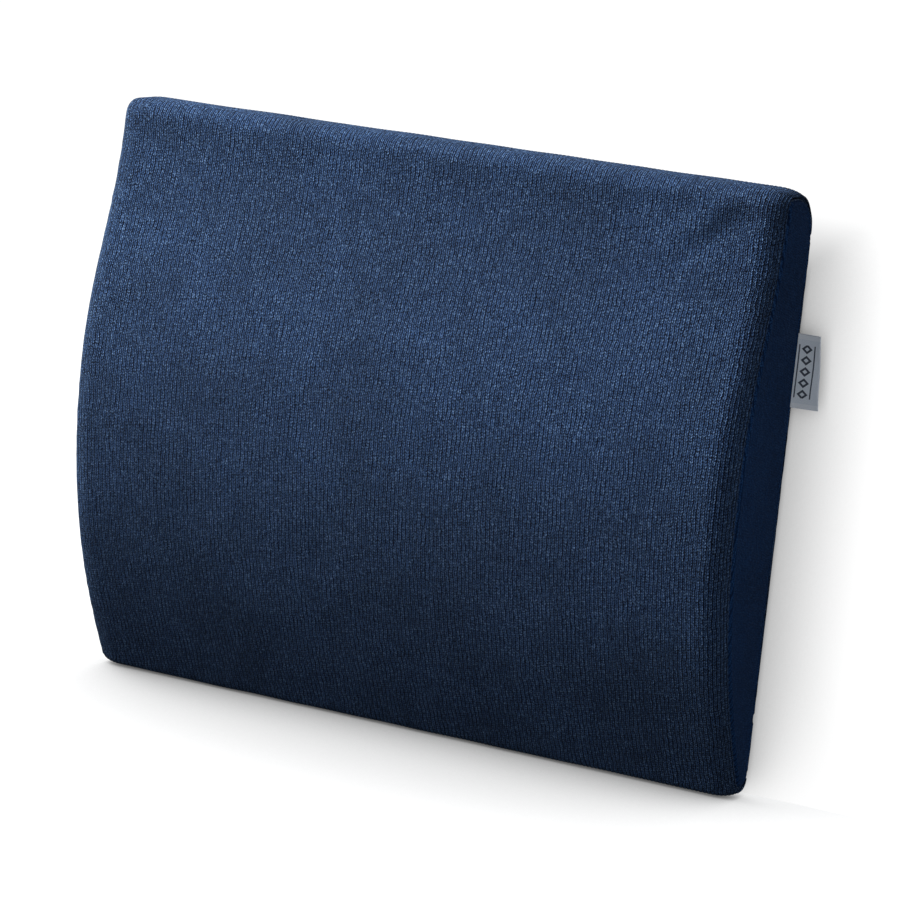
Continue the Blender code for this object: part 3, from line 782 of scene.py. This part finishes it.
def makeSidePanel(name, node, mirror, seed):
    # a lens between the two seams that swells outwards, dips into the seams and has gathers and slack waves
    share = 0.5 - 0.5 * np.cos(np.linspace(0, np.pi, sidePanel["columns"]))
    share = 0.35 * share + 0.65 * np.linspace(0, 1, sidePanel["columns"])
    grid, outline, backLine = sideGrid(sidePanel["rows"], share)
    length = np.linalg.norm(outline - backLine, axis=1)[:, None]
    toSeam = np.minimum(share[None, :], 1 - share[None, :]) * length
    rowPlace = np.linspace(0, stuffing["rows"] - 1, sidePanel["rows"])
    swell = splineWeights(rowPlace, stuffing["rows"]) @ fields["side"] @ splineWeights(
        share * (stuffing["sideColumns"] - 1), stuffing["sideColumns"]).T
    y, z = grid[..., 1], grid[..., 2]
    flatPoint = np.stack([y, z * 0.55], -1)
    lump = waves(seed, flatPoint, (0.02, 0.034)) * panel["sideUnevenness"] * smoothStep(0, 0.012, toSeam)
    height = swell + lump + 0.7 * puckers(toSeam, z, seed + 1) + seamProfile(toSeam * 1.15)
    fine = 0.00007 * np.cos(2 * np.pi * y / knitLook["side"]["wale"]) * smoothStep(0.002, 0.004, toSeam)
    grid[..., 0] += height + fine
    normals = gridNormals(grid)
    maps = panelMaps(y, z)
    if mirror:
        grid, normals = grid[:, ::-1] * np.array([-1, 1, 1]), normals[:, ::-1] * np.array([-1, 1, 1])
        maps = [(key, value[:, ::-1], scale, shift) for key, value, scale, shift in maps]
    obj = closedPanel(name, grid, np.broadcast_to(np.array([-1.0 if mirror else 1.0, 0, 0]), grid.shape),
                      cushion["panelThickness"], maps, sideKnit, 3, 3)
    place(obj, "side_knit", node)
    return obj


zipLook = {
    "z": -0.093, "half": 0.125, "lip": 0.0052, "lipEnd": 0.0045, "hemRadius": 0.0013, "hemDrop": 0.0034,
    "furrowFrom": 0.0031, "furrow": 0.00085, "furrowWidth": 0.0009, "lipPuff": 0.0007,
    "closedGap": 0.0002, "stitchPitch": 0.0031, "fineBand": 0.009, "seamBand": 0.0036,
}


def makeBackPanel(name, node, side, seed):
    # a flat panel from the seam to the zip: its zip edge parts by a smooth step within the zip's length,
    # rolls over a quarter circle and goes down inside, and a furrow runs where it is topstitched
    x, turn, reach = fineStations()
    keep = np.unique(np.concatenate([np.arange(0, len(x), 2), [0, len(x) - 1]]))
    x, turn, reach = x[keep], turn[keep], reach[keep]
    closed = smoothStep(zipLook["half"] - 0.001, zipLook["half"] + zipLook["lipEnd"], np.abs(x))
    gap = zipLook["lip"] * (1 - closed) + zipLook["closedGap"]
    edge = zipLook["z"] + side * gap
    seam = (backTop if side > 0 else backBottom) - side * cushion["seamGap"]
    radius, drop = zipLook["hemRadius"], zipLook["hemDrop"]
    fine, coarse = zipLook["fineBand"], zipLook["seamBand"]
    nearRows = np.linspace(fine, 0.0, 13)  # distances from the start of the roll
    span = np.abs(seam - (edge + side * radius))
    nearSeam = np.array([0, 0.0006, 0.0012, 0.0018, 0.0026])
    between = np.linspace(0, 1, 60 if side > 0 else 5)[:, None]
    body = np.concatenate([nearSeam[:, None] + 0 * span[None, :],
                           coarse + (span - fine - coarse)[None, :] * between,
                           span[None, :] - nearRows[1:, None]])
    z = seam - side * body
    y = -cushion["edgeRadius"] * turn[None, :] + 0 * z
    angle = np.linspace(0, np.pi / 2, 6)[1:, None]
    rollZ = edge[None, :] + side * radius * (1 - np.sin(angle))
    rollY = y[-1:] - radius * (1 - np.cos(angle))
    down = np.linspace(0, drop - radius, 4)[1:, None]
    downY = y[-1:] - radius - down
    z = np.concatenate([z, rollZ, np.broadcast_to(edge, (3, len(x)))])
    y = np.concatenate([y, rollY, downY])
    grid = np.stack([np.broadcast_to(x, z.shape), y, z], -1)
    along = np.concatenate([body, span + radius * angle, span + radius * np.pi / 2 + down + 0 * span])
    fromZip = span[None, :] - along
    order = slice(None, None, -1 if side > 0 else 1)  # the upper panel's columns turn round to face outwards
    toSide = (reach.max() - np.abs(reach))[None, :] + 0 * along
    nearest = np.minimum(toSide, along)
    flatness = smoothStep(-0.0004, 0.0012, fromZip)
    rowPlace = (backTop - np.clip(z, backBottom, backTop)) / (backTop - backBottom) * (stuffing["rows"] - 1)
    columnsAt = columnPlace(x, turn)
    swellColumns = fields["back"] @ splineWeights(columnsAt, fields["back"].shape[1]).T
    low = np.clip(np.floor(rowPlace).astype(int), 0, stuffing["rows"] - 2)
    part = rowPlace - low
    swell = (np.take_along_axis(swellColumns, low, 0) * (1 - part)
             + np.take_along_axis(swellColumns, low + 1, 0) * part)
    inZip = 1 - smoothStep(zipLook["half"] + 0.004, zipLook["half"] + 0.009, np.abs(x))[None, :]
    offFurrow = (fromZip + radius - zipLook["furrowFrom"]) / zipLook["furrowWidth"]
    furrow = -zipLook["furrow"] * np.exp(-(offFurrow**2)) * inZip
    stitchPull = 1 + 0.5 * np.cos(2 * np.pi * x / zipLook["stitchPitch"])[None, :]
    uneven = 1 + 0.3 * waves(seed, x[:, None], (0.012, 0.03))[None, :]
    puff = zipLook["lipPuff"] * np.exp(-(((fromZip - 0.0006) / 0.0012) ** 2)) * inZip * flatness * uneven
    flatPoint = np.stack([np.broadcast_to(x, z.shape), z], -1)
    inwards = smoothStep(0, 0.02, np.minimum(nearest, np.maximum(fromZip, 0)))
    lump = waves(seed + 1, flatPoint, (0.03, 0.05)) * 0.0002 * inwards
    fade = smoothStep(0.0012, 0.003, nearest) * flatness
    sway = waves(seed + 2, flatPoint, (0.035,)) * 0.0002
    gather = (0.6 * puckers(toSide, z, seed + 3) + 0.5 * puckers(along, x, seed + 4)) * flatness
    height = (np.minimum(swell, 0.0008) + lump + furrow * stitchPull + puff + gather
              + waleHeight(reach[None, :] + sway, fade) * 0.8 + seamProfile(nearest))
    height = height * np.where(fromZip > 0, 1, flatness)
    grid = grid[:, order]
    height = height[:, order]
    normals = gridNormals(grid)
    if normals[5, len(x) // 2, 1] < 0:
        grid, height = grid[:, ::-1], height[:, ::-1]
        normals = gridNormals(grid)
        order = slice(None, None, -order.step)
    outer = grid + normals * height[..., None]
    maps = panelMaps((reach[None, :] + sway)[:, order], -side * along[:, order])
    obj = closedPanel(name, outer, normals, cushion["panelThickness"] * 0.7, maps, coverKnit, 3, 8)
    place(obj, "cover_knit", node)
    return obj


makeFrontPanel()
makeSidePanel("coverSideRight", "side_panel_right", False, 21)
makeSidePanel("coverSideLeft", "side_panel_left", True, 31)
makeBackPanel("coverBackUpper", "back_panel_upper", 1, 41)
makeBackPanel("coverBackLower", "back_panel_lower", -1, 51)
print("cover panels ready")

# Foam body
foam = {"inset": 0.0032, "rows": 70, "columns": 60, "zipDip": 0.0085, "dipHalf": 0.017}


def makeFoam():
    # the cushion's closed section carried across inside the cover, hollowed behind the zip, its ends closed
    angle = np.linspace(0, np.pi / 2, 8)
    x, turn = rollStation(angle)
    x = x - foam["inset"]
    flat = np.linspace(-x[0], x[0], foam["columns"])[1:-1]
    xs, turns = np.concatenate([-x[::-1], flat, x]), np.concatenate([turn[::-1], 0 * flat, turn])
    sections = sectionOutline(turns, 0 * turns + foam["inset"])
    front = sampleAt(sections, np.linspace(0, outlineCount - 1, foam["rows"]))
    share = np.linspace(0, 1, 42)[1:-1][None, :, None]
    back = front[:, -1:] * (1 - share) + front[:, :1] * share
    ring = np.concatenate([front, back], 1)
    grid = carriedAcross(xs, ring)
    dip = 1 - smoothStep(foam["dipHalf"], foam["dipHalf"] + 0.004, np.abs(grid[..., 2] - zipLook["z"]))
    dip = dip * (1 - smoothStep(0.137, 0.141, np.abs(grid[..., 0])))
    limit = -foam["zipDip"] * dip
    grid[..., 1] = np.where(grid[..., 1] > -0.0105, np.minimum(grid[..., 1], limit), grid[..., 1])
    rows, columns = grid.shape[:2]
    ends = np.stack([grid[:, 0].mean(0), grid[:, -1].mean(0)])
    number = np.arange(rows * columns).reshape(rows, columns)
    after = np.roll(number, -1, axis=0)
    fans = [np.stack([number[:, 0], np.full(rows, rows * columns), after[:, 0]], 1)[:, ::-1],
            np.stack([number[:, -1], after[:, -1], np.full(rows, rows * columns + 1)], 1)[:, ::-1]]
    points = np.concatenate([grid.reshape(-1, 3), ends])
    obj = makeMesh("foamBody", points, [gridQuads(rows, columns, wrapRows=True), *fans], [foamLook])
    place(obj, "foam", "foam_core")
    return obj


makeFoam()

# Stitching
stitchLook = {
    "seamPitch": 0.0030, "zipPitch": zipLook["stitchPitch"], "radius": 0.00030, "zipRadius": 0.00028,
    "gap": 0.0006, "lean": 0.00012, "sides": 6, "rings": 6,
    "inFromSide": 0.00105, "seamHalf": 0.140, "seamY": -0.0009, "zipHalf": 0.1287, "zipY": -0.0005,
}


def stitchRow(points, ups, length, radius, lean=0.0):
    # one capsule per pair of points: rings along a low arch between them, narrowed at both ends, and two caps
    starts, ends = points[:-1], points[1:]
    middle, along = (starts + ends) / 2, ends - starts
    along = along / np.linalg.norm(along, axis=1, keepdims=True)
    up = ups[:-1] - (ups[:-1] * along).sum(1, keepdims=True) * along
    up = up / np.linalg.norm(up, axis=1, keepdims=True)
    out = np.cross(along, up)
    t = np.linspace(-1, 1, stitchLook["rings"])
    swell = np.sqrt(np.maximum(1 - np.abs(t) ** 3.2, 0.02))
    rise = 0.35 * radius * (1 - t**2) - radius * 1.3 * np.abs(t) ** 5
    angle = np.linspace(0, 2 * np.pi, stitchLook["sides"], endpoint=False)
    centre = (middle[:, None, :] + along[:, None, :] * (t * length / 2)[None, :, None]
              + out[:, None, :] * (t * lean)[None, :, None] + up[:, None, :] * rise[None, :, None])
    ring = (out[:, None, None, :] * np.cos(angle)[None, None, :, None]
            + up[:, None, None, :] * np.sin(angle)[None, None, :, None])
    grid = centre[:, :, None, :] + ring * (radius * swell)[None, :, None, None]
    count, rings, sides = grid.shape[:3]
    one = gridQuads(rings, sides, wrapColumns=True)
    caps = np.stack([np.arange(sides)[::-1], np.arange(sides) + (rings - 1) * sides])
    shift = (np.arange(count) * rings * sides)[:, None, None]
    u = np.broadcast_to((angle / (2 * np.pi))[None, None, :], grid.shape[:3])
    v = np.broadcast_to((t * length / 2)[None, :, None], grid.shape[:3])
    quads, ends = (one[None] + shift).reshape(-1, 4), (caps[None] + shift).reshape(-1, sides)
    return grid.reshape(-1, 3), quads, ends, np.stack([u, v], -1).reshape(-1, 2)


def spacedAlong(path, pitch, closed=False):  # points at equal steps along a path
    if closed:
        path = np.concatenate([path, path[:1]])
    reach = np.concatenate([[0], np.cumsum(np.linalg.norm(np.diff(path, axis=0), axis=1))])
    at = np.linspace(0, reach[-1], max(2, int(round(reach[-1] / pitch)) + 1))
    return np.stack([np.interp(at, reach, path[:, k]) for k in range(3)], 1)


def makeStitches(name, node, path, up, pitch, radius, closed=False, lean=0.0):
    points = spacedAlong(path, pitch, closed)
    ups = np.broadcast_to(np.asarray(up, float), points.shape)
    grid, quads, caps, uv = stitchRow(points, ups, pitch - stitchLook["gap"], radius, lean)
    obj = makeMesh(name, grid, [quads, caps], [threadLook], {"cloth": uv})
    return place(obj, "thread", node)


for name, node, side in (("seamThreadRight", "seam_thread_right", 1),
                         ("seamThreadLeft", "seam_thread_left", -1)):
    ring = sectionOutline([1.0], [0.0008])[0]
    ring = np.concatenate([ring, np.linspace(ring[-1], ring[0], 60)[1:-1]])
    path = np.concatenate([np.full((len(ring), 1), side * (halfWidth - stitchLook["inFromSide"])), ring], 1)
    makeStitches(name, node, path, (side, 0, 0), stitchLook["seamPitch"], stitchLook["radius"], closed=True,
                 lean=stitchLook["lean"])
for name, node, z in (("seamThreadTop", "seam_thread_top", backTop - cushion["seamGap"] / 2),
                      ("seamThreadBottom", "seam_thread_bottom", backBottom + cushion["seamGap"] / 2)):
    half, y = stitchLook["seamHalf"], stitchLook["seamY"]
    makeStitches(name, node, np.array([[-half, y, z], [half, y, z]]), (0, 1, 0),
                 stitchLook["seamPitch"], stitchLook["radius"], lean=stitchLook["lean"])
for name, node, side in (("zipStitchUpper", "zip_stitch_upper", 1),
                         ("zipStitchLower", "zip_stitch_lower", -1)):
    z = zipLook["z"] + side * (zipLook["lip"] + zipLook["closedGap"] + zipLook["furrowFrom"])
    half, y = stitchLook["zipHalf"], stitchLook["zipY"]
    makeStitches(name, node, np.array([[-half, y, z], [half, y, z]]), (0, 1, 0),
                 stitchLook["zipPitch"], stitchLook["zipRadius"])
print("stitching ready")


# Side label
def makeLabel():
    # a ribbon folded double: from the seam out to the fold and back, a little longer at its lower end, with a
    # gentle curl and a ripple up its height
    rise = np.linspace(-0.5, 0.5, 61)
    turn, middle = labelLook["gap"] / 2 + labelLook["thickness"] / 2, labelLook["y"]
    fold = np.linspace(0, np.pi, 9)
    share = np.linspace(0, 1, 18)
    root = halfWidth - 0.0007
    reach = labelLook["topReach"] * (rise + 0.5) + labelLook["bottomReach"] * (0.5 - rise)
    tip = halfWidth + reach - turn
    out = np.concatenate([
        root + (tip[:, None] - root) * share[None, :-1], tip[:, None] + turn * np.sin(fold)[None, :],
        root + (tip[:, None] - root) * share[None, ::-1][:, 1:]], 1)
    offset = np.concatenate([np.full(17, turn), turn * np.cos(fold), np.full(17, -turn)])
    away = (out - root) / (tip[:, None] - root)
    curl = (-labelLook["curl"] * away**2 * (0.6 + 0.8 * rise[:, None])
            + labelLook["ripple"] * np.sin(rise[:, None] * 9 + 1.0) * away)
    y = middle + offset[None, :] + curl
    lift = labelLook["lift"] * away * (0.3 - rise[:, None] * 0.2)  # the folded end stands a little higher
    z = labelLook["middleZ"] + rise[:, None] * labelLook["height"] + lift
    grid = np.stack([out, y, z + 0 * out], -1)
    normals = gridNormals(grid)
    if normals[30, 5, 1] < 0:
        grid, normals = grid[:, ::-1], gridNormals(grid[:, ::-1])
        out = out[:, ::-1]
    cloth = np.stack([out - root, np.broadcast_to((rise * labelLook["height"])[:, None], out.shape)], -1)
    number = np.linspace(0, 1, out.shape[1])[None, :] + 0 * out
    bake = np.stack([number, (rise[:, None] + 0.5) * 0.95 + 0 * out], -1)
    maps = [("cloth", cloth, 1.0, 0.0), ("OFBake", bake, np.array([1.0, 0.04]), np.array([0.0, 0.955]))]
    outer = grid + normals * labelLook["thickness"] / 2
    obj = closedPanel("sideLabel", outer, normals, labelLook["thickness"], maps, ribbonLook, 2, 2)
    place(obj, "label_ribbon", "side_label")
    return obj


makeLabel()
print("label ready")

# Zip
zipParts = {
    "tapeTop": -0.00609, "tapeThickness": 0.0006, "tapeWidth": 0.012, "tapeGap": 0.003, "tapeHalf": 0.133,
    "closeRight": (0.1105, 0.1135), "closeLeft": (0.1240, 0.1270),
    "coilPitch": 0.00072, "coilStart": -0.1202, "coilEnd": 0.1066,
    "coilRadiusY": 0.00078, "coilReach": 0.0030, "tapeRipple": 0.00008,
    "wire": 0.00031, "coilY": -0.00482,
}


def makeTape(name, node, side, seed):
    # flat strip beside the zip's middle, with a thicker woven edge along the coil and a slack ripple outwards
    x = np.linspace(-zipParts["tapeHalf"], zipParts["tapeHalf"], 240)
    nearCoil = [0, 0.0002, 0.0005, 0.0009, 0.0014, 0.002]
    w = np.concatenate([nearCoil, np.linspace(0.003, zipParts["tapeWidth"], 10)])
    parted = (1 - smoothStep(*zipParts["closeRight"], x)) * (1 - smoothStep(*zipParts["closeLeft"], -x))
    gap = 0.0001 + parted * (zipParts["tapeGap"] / 2 - 0.0001)  # the tapes meet past the stops
    z = zipLook["z"] + side * (gap[None, :] + w[:, None])
    edge = 0.00006 * np.exp(-(((w - 0.0006) / 0.0006) ** 2))[:, None]
    slack = smoothStep(0.004, 0.012, w)[:, None]
    ripple = -np.abs(waves(seed, x[:, None], (0.02, 0.045))[None, :]) * zipParts["tapeRipple"] * slack
    y = zipParts["tapeTop"] + edge + ripple
    grid = np.stack([np.broadcast_to(x, z.shape), y, z], -1)
    across, along = np.broadcast_to(w[:, None], z.shape), np.broadcast_to(x, z.shape)
    if gridNormals(grid)[3, 3, 1] < 0:
        grid, across, along = grid[:, ::-1], across[:, ::-1], along[:, ::-1]
    normals = gridNormals(grid)
    maps = panelMaps(along, across)
    obj = closedPanel(name, grid, normals, zipParts["tapeThickness"], maps, tapeLook, 3, 6)
    return place(obj, "zip_tape", node)


def makeCoil(name, node, side):
    # nylon wire wound along the tape's edge: an oval spiral whose inner bends reach across the middle
    pitch = zipParts["coilPitch"] * 2
    start = zipParts["coilStart"] + (0 if side > 0 else pitch / 2) + 0.0006
    turns = int((zipParts["coilEnd"] - start - 0.0006) / pitch)
    t = np.linspace(0, turns, turns * 12 + 1)
    angle = 2 * np.pi * t
    outer = zipParts["coilReach"] - 0.0004
    inner = -0.00085
    squared = np.sign(np.cos(angle)) * np.abs(np.cos(angle)) ** 0.7
    z = side * ((outer + inner) / 2 + (outer - inner) / 2 * squared)
    y = zipParts["coilY"] + zipParts["coilRadiusY"] * np.sin(angle)
    path = np.stack([start + t * pitch, y, zipLook["z"] + z], 1)
    along = np.gradient(path, axis=0)
    along /= np.linalg.norm(along, axis=1, keepdims=True)
    first = np.cross(along, np.array([1.0, 0, 0]))
    first /= np.linalg.norm(first, axis=1, keepdims=True)
    second = np.cross(along, first)
    turn = np.linspace(0, 2 * np.pi, 6, endpoint=False)
    grid = path[:, None, :] + zipParts["wire"] * (
        first[:, None, :] * np.cos(turn)[None, :, None] + second[:, None, :] * np.sin(turn)[None, :, None])
    rows, sides = grid.shape[:2]
    caps = np.stack([np.arange(sides), (np.arange(sides) + (rows - 1) * sides)[::-1]])
    obj = makeMesh(name, grid, [gridQuads(rows, sides, wrapColumns=True)[:, ::-1], caps], [coilLook])
    return place(obj, "zip_coil", node)


def roundedCopy(name, node, body, bevel, slot, material):
    # the frame's own part with its facets merged and its edges rounded
    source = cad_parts[node]
    shape = bmesh.new()
    shape.from_mesh(source.data)
    bmesh.ops.remove_doubles(shape, verts=shape.verts, dist=1e-6)
    flatEdges = [e for e in shape.edges if len(e.link_faces) == 2 and e.calc_face_angle(1) < 0.01]
    bmesh.ops.dissolve_edges(shape, edges=flatEdges, use_verts=True)
    mesh = bpy.data.meshes.new(name)
    shape.to_mesh(mesh)
    shape.free()
    mesh.materials.clear()
    mesh.materials.append(material)
    obj = bpy.data.objects.new(name, mesh)
    bpy.context.scene.collection.objects.link(obj)
    modifier = obj.modifiers.new("rounded edges", "BEVEL")
    modifier.width = bevel
    modifier.segments = 3
    modifier.limit_method = "ANGLE"
    modifier.angle_limit = math.radians(30)
    modifier.use_clamp_overlap = True
    mesh.polygons.foreach_set("use_smooth", np.full(len(mesh.polygons), True))
    sharp = obj.modifiers.new("even shading", "WEIGHTED_NORMAL")
    sharp.keep_sharp = True
    return place(obj, slot, node, body=body)


makeTape("zipTapeUpper", "zip_tape_upper", 1, 61)
makeTape("zipTapeLower", "zip_tape_lower", -1, 62)
makeCoil("zipCoilUpper", "zip_coil_upper", 1)
makeCoil("zipCoilLower", "zip_coil_lower", -1)
roundedCopy("zipSlider", "zip_slider", "slider", 0.00018, "zip_metal", enamelLook)
roundedCopy("zipPull", "zip_pull", "pull", 0.00022, "zip_metal", enamelLook)
roundedCopy("zipTopStopUpper", "zip_top_stop_upper", "root", 0.0003, "zip_metal", enamelLook)
roundedCopy("zipTopStopLower", "zip_top_stop_lower", "root", 0.0003, "zip_metal", enamelLook)
roundedCopy("zipBottomStop", "zip_bottom_stop", "root", 0.0003, "zip_metal", enamelLook)
print("zip ready")

# Floor, light and camera
studio = {
    "floorZ": -0.1258, "floorSize": 120.0, "floorSeen": 0.11, "floorBounce": 0.05, "floorGlow": 1.03,
    # painted shadow on the floor: how far from the cushion it reaches, and its darkest at contact
    "floorPaintedShadowReach": 0.16, "floorPaintedShadowLeast": 0.06,
    # painted shadow on the wall: the heights over which it fades out, how far it reaches and its darkest
    "wallY": 0.0022, "wallLeft": 0.10, "wallSize": 3.0, "wallPaintedShadowFade": (0.060, 0.128), "wallSeen": 0.06,
    "wallGlow": 1.04, "wallPaintedShadowReach": 0.042, "wallPaintedShadowLeast": 0.0,
    "fill": 0.30, "fillTint": (0.84, 0.97, 1.14, 1), "white": 1.15,
    "keyPlace": (-0.74, -0.50, 0.98), "keyPower": 55, "keySize": 1.0,
    "rimPlace": (-1.6, 0.9, 0.75), "rimSize": 0.9, "rimPower": 6.5,
    "lowPlace": (0.75, -0.90, -0.03), "lowSize": 0.7, "lowPower": 2.6,
    "camera": (0.63491, -1.37978, 0.26156), "turn": (79.9312, -5.7735, 25.6948), "lens": 146.541,
}


def makeLight(name, kind, location, power):  # a light that looks at the origin
    lamp = bpy.data.lights.new(name, kind)
    lamp.energy = power
    obj = bpy.data.objects.new(name, lamp)
    obj.location = location
    aim = -np.array(location, float)
    flat = math.hypot(aim[0], aim[1])
    obj.rotation_euler = (math.pi / 2 + math.atan2(aim[2], flat), 0, math.atan2(aim[1], aim[0]) - math.pi / 2)
    bpy.context.scene.collection.objects.link(obj)
    return obj


def paintedShadowFactor(w, least, reach):  # painted shadow: 1 in the open, falling towards least where the object stands close
    near = w.add("ShaderNodeAmbientOcclusion", samples=16)
    near.inputs["Distance"].default_value = reach
    return w.math("MULTIPLY_ADD", near.outputs["AO"], 1.0 - least, least)


def stagePlane(name, corners, material):  # it casts no shadow of its own
    obj = makeMesh(name, np.array(corners, float), [np.array([[0, 1, 2, 3]])], [material], smooth=False)
    obj.visible_shadow = False


def makeFloor():  # pale and evenly lit where the camera sees it, with a painted shadow where the cushion stands close, and dark to the light that it throws back
    half, low = studio["floorSize"] / 2, studio["floorZ"]
    material, w, shader = newMaterial("pale floor")
    seen = w.add("ShaderNodeLightPath").outputs["Is Camera Ray"]
    grey = w.mix(seen, (studio["floorBounce"],) * 3 + (1,), (studio["floorSeen"],) * 3 + (1,))
    w.link(grey, shader.inputs["Base Color"])
    shader.inputs["Emission Color"].default_value = (1, 1, 1, 1)
    # painted shadow: the camera's glow dims where the cushion stands close
    glowWithPaintedShadow = w.math("MULTIPLY", paintedShadowFactor(w, studio["floorPaintedShadowLeast"], studio["floorPaintedShadowReach"]), studio["floorGlow"])
    w.link(w.math("MULTIPLY", seen, glowWithPaintedShadow), shader.inputs["Emission Strength"])
    shader.inputs["Roughness"].default_value = 0.9
    shader.inputs["Specular IOR Level"].default_value = 0.1
    corners = [[-half, -half, low], [half, -half, low], [half, half, low], [-half, half, low]]
    stagePlane("floor", corners, material)


def makeWall():  # the pale surface behind the back, darkened by a painted shadow beside the cushion: only its front is there, and only for the camera
    half, low, y = studio["wallSize"] / 2, studio["floorZ"], studio["wallY"]
    material, w, shader = newMaterial("pale wall")
    shader.inputs["Base Color"].default_value = (studio["wallSeen"],) * 3 + (1,)
    shader.inputs["Emission Color"].default_value = (1, 1, 1, 1)
    place = w.add("ShaderNodeSeparateXYZ")
    w.link(w.add("ShaderNodeNewGeometry").outputs["Position"], place.inputs[0])
    # painted shadow on the wall: darker where the cushion stands close, lifted back to full glow towards the
    # top
    lift = w.spread(place.outputs["Z"], *studio["wallPaintedShadowFade"])
    bright = w.math("MAXIMUM", paintedShadowFactor(w, studio["wallPaintedShadowLeast"], studio["wallPaintedShadowReach"]), lift)
    w.link(w.math("MULTIPLY", bright, studio["wallGlow"]), shader.inputs["Emission Strength"])
    shader.inputs["Roughness"].default_value = 0.9
    shader.inputs["Specular IOR Level"].default_value = 0.1
    seen = w.add("ShaderNodeLightPath").outputs["Is Camera Ray"]
    behind = w.add("ShaderNodeNewGeometry").outputs["Backfacing"]
    blend = w.add("ShaderNodeMixShader")
    edgeOn = w.spread(w.add("ShaderNodeLayerWeight").outputs["Facing"], 0.6, 0.8)  # gone from the side
    shown = w.math("MULTIPLY", w.math("SUBTRACT", 1.0, behind), w.math("SUBTRACT", 1.0, edgeOn))
    w.link(w.math("MULTIPLY", seen, shown), blend.inputs[0])
    w.link(w.add("ShaderNodeBsdfTransparent").outputs[0], blend.inputs[1])
    w.link(shader.outputs[0], blend.inputs[2])
    w.link(blend.outputs[0], material.node_tree.nodes["Material Output"].inputs["Surface"])
    left = studio["wallLeft"]
    stagePlane("wall", [[left, y, low], [half, y, low], [half, y, half], [left, y, half]], material)


def makeStudio():
    makeFloor()
    makeWall()
    key = makeLight("keyLight", "AREA", studio["keyPlace"], studio["keyPower"])
    key.data.shape = "DISK"
    key.data.size = studio["keySize"]
    rim = makeLight("rimLight", "AREA", studio["rimPlace"], studio["rimPower"])
    rim.data.size = studio["rimSize"]
    soft = makeLight("lowLight", "AREA", studio["lowPlace"], studio["lowPower"])
    soft.data.size = studio["lowSize"]
    world = bpy.data.worlds.new("studio")
    world.use_nodes = True
    w = Wiring(world.node_tree)
    background = world.node_tree.nodes["Background"]
    seen = w.add("ShaderNodeLightPath").outputs["Is Camera Ray"]
    w.link(w.mix(seen, studio["fillTint"], (1, 1, 1, 1)), background.inputs["Color"])
    strength = w.math("MULTIPLY_ADD", seen, studio["white"] - studio["fill"], studio["fill"])
    w.link(strength, background.inputs["Strength"])
    bpy.context.scene.world = world
    camera = bpy.data.cameras.new("camera")
    camera.lens = studio["lens"]
    camera.sensor_width = 36
    obj = bpy.data.objects.new("camera", camera)
    obj.location = studio["camera"]
    obj.rotation_euler = [math.radians(a) for a in studio["turn"]]
    bpy.context.scene.collection.objects.link(obj)
    bpy.context.scene.camera = obj
    bpy.context.scene.view_settings.view_transform = "Standard"


makeStudio()
print("studio ready")
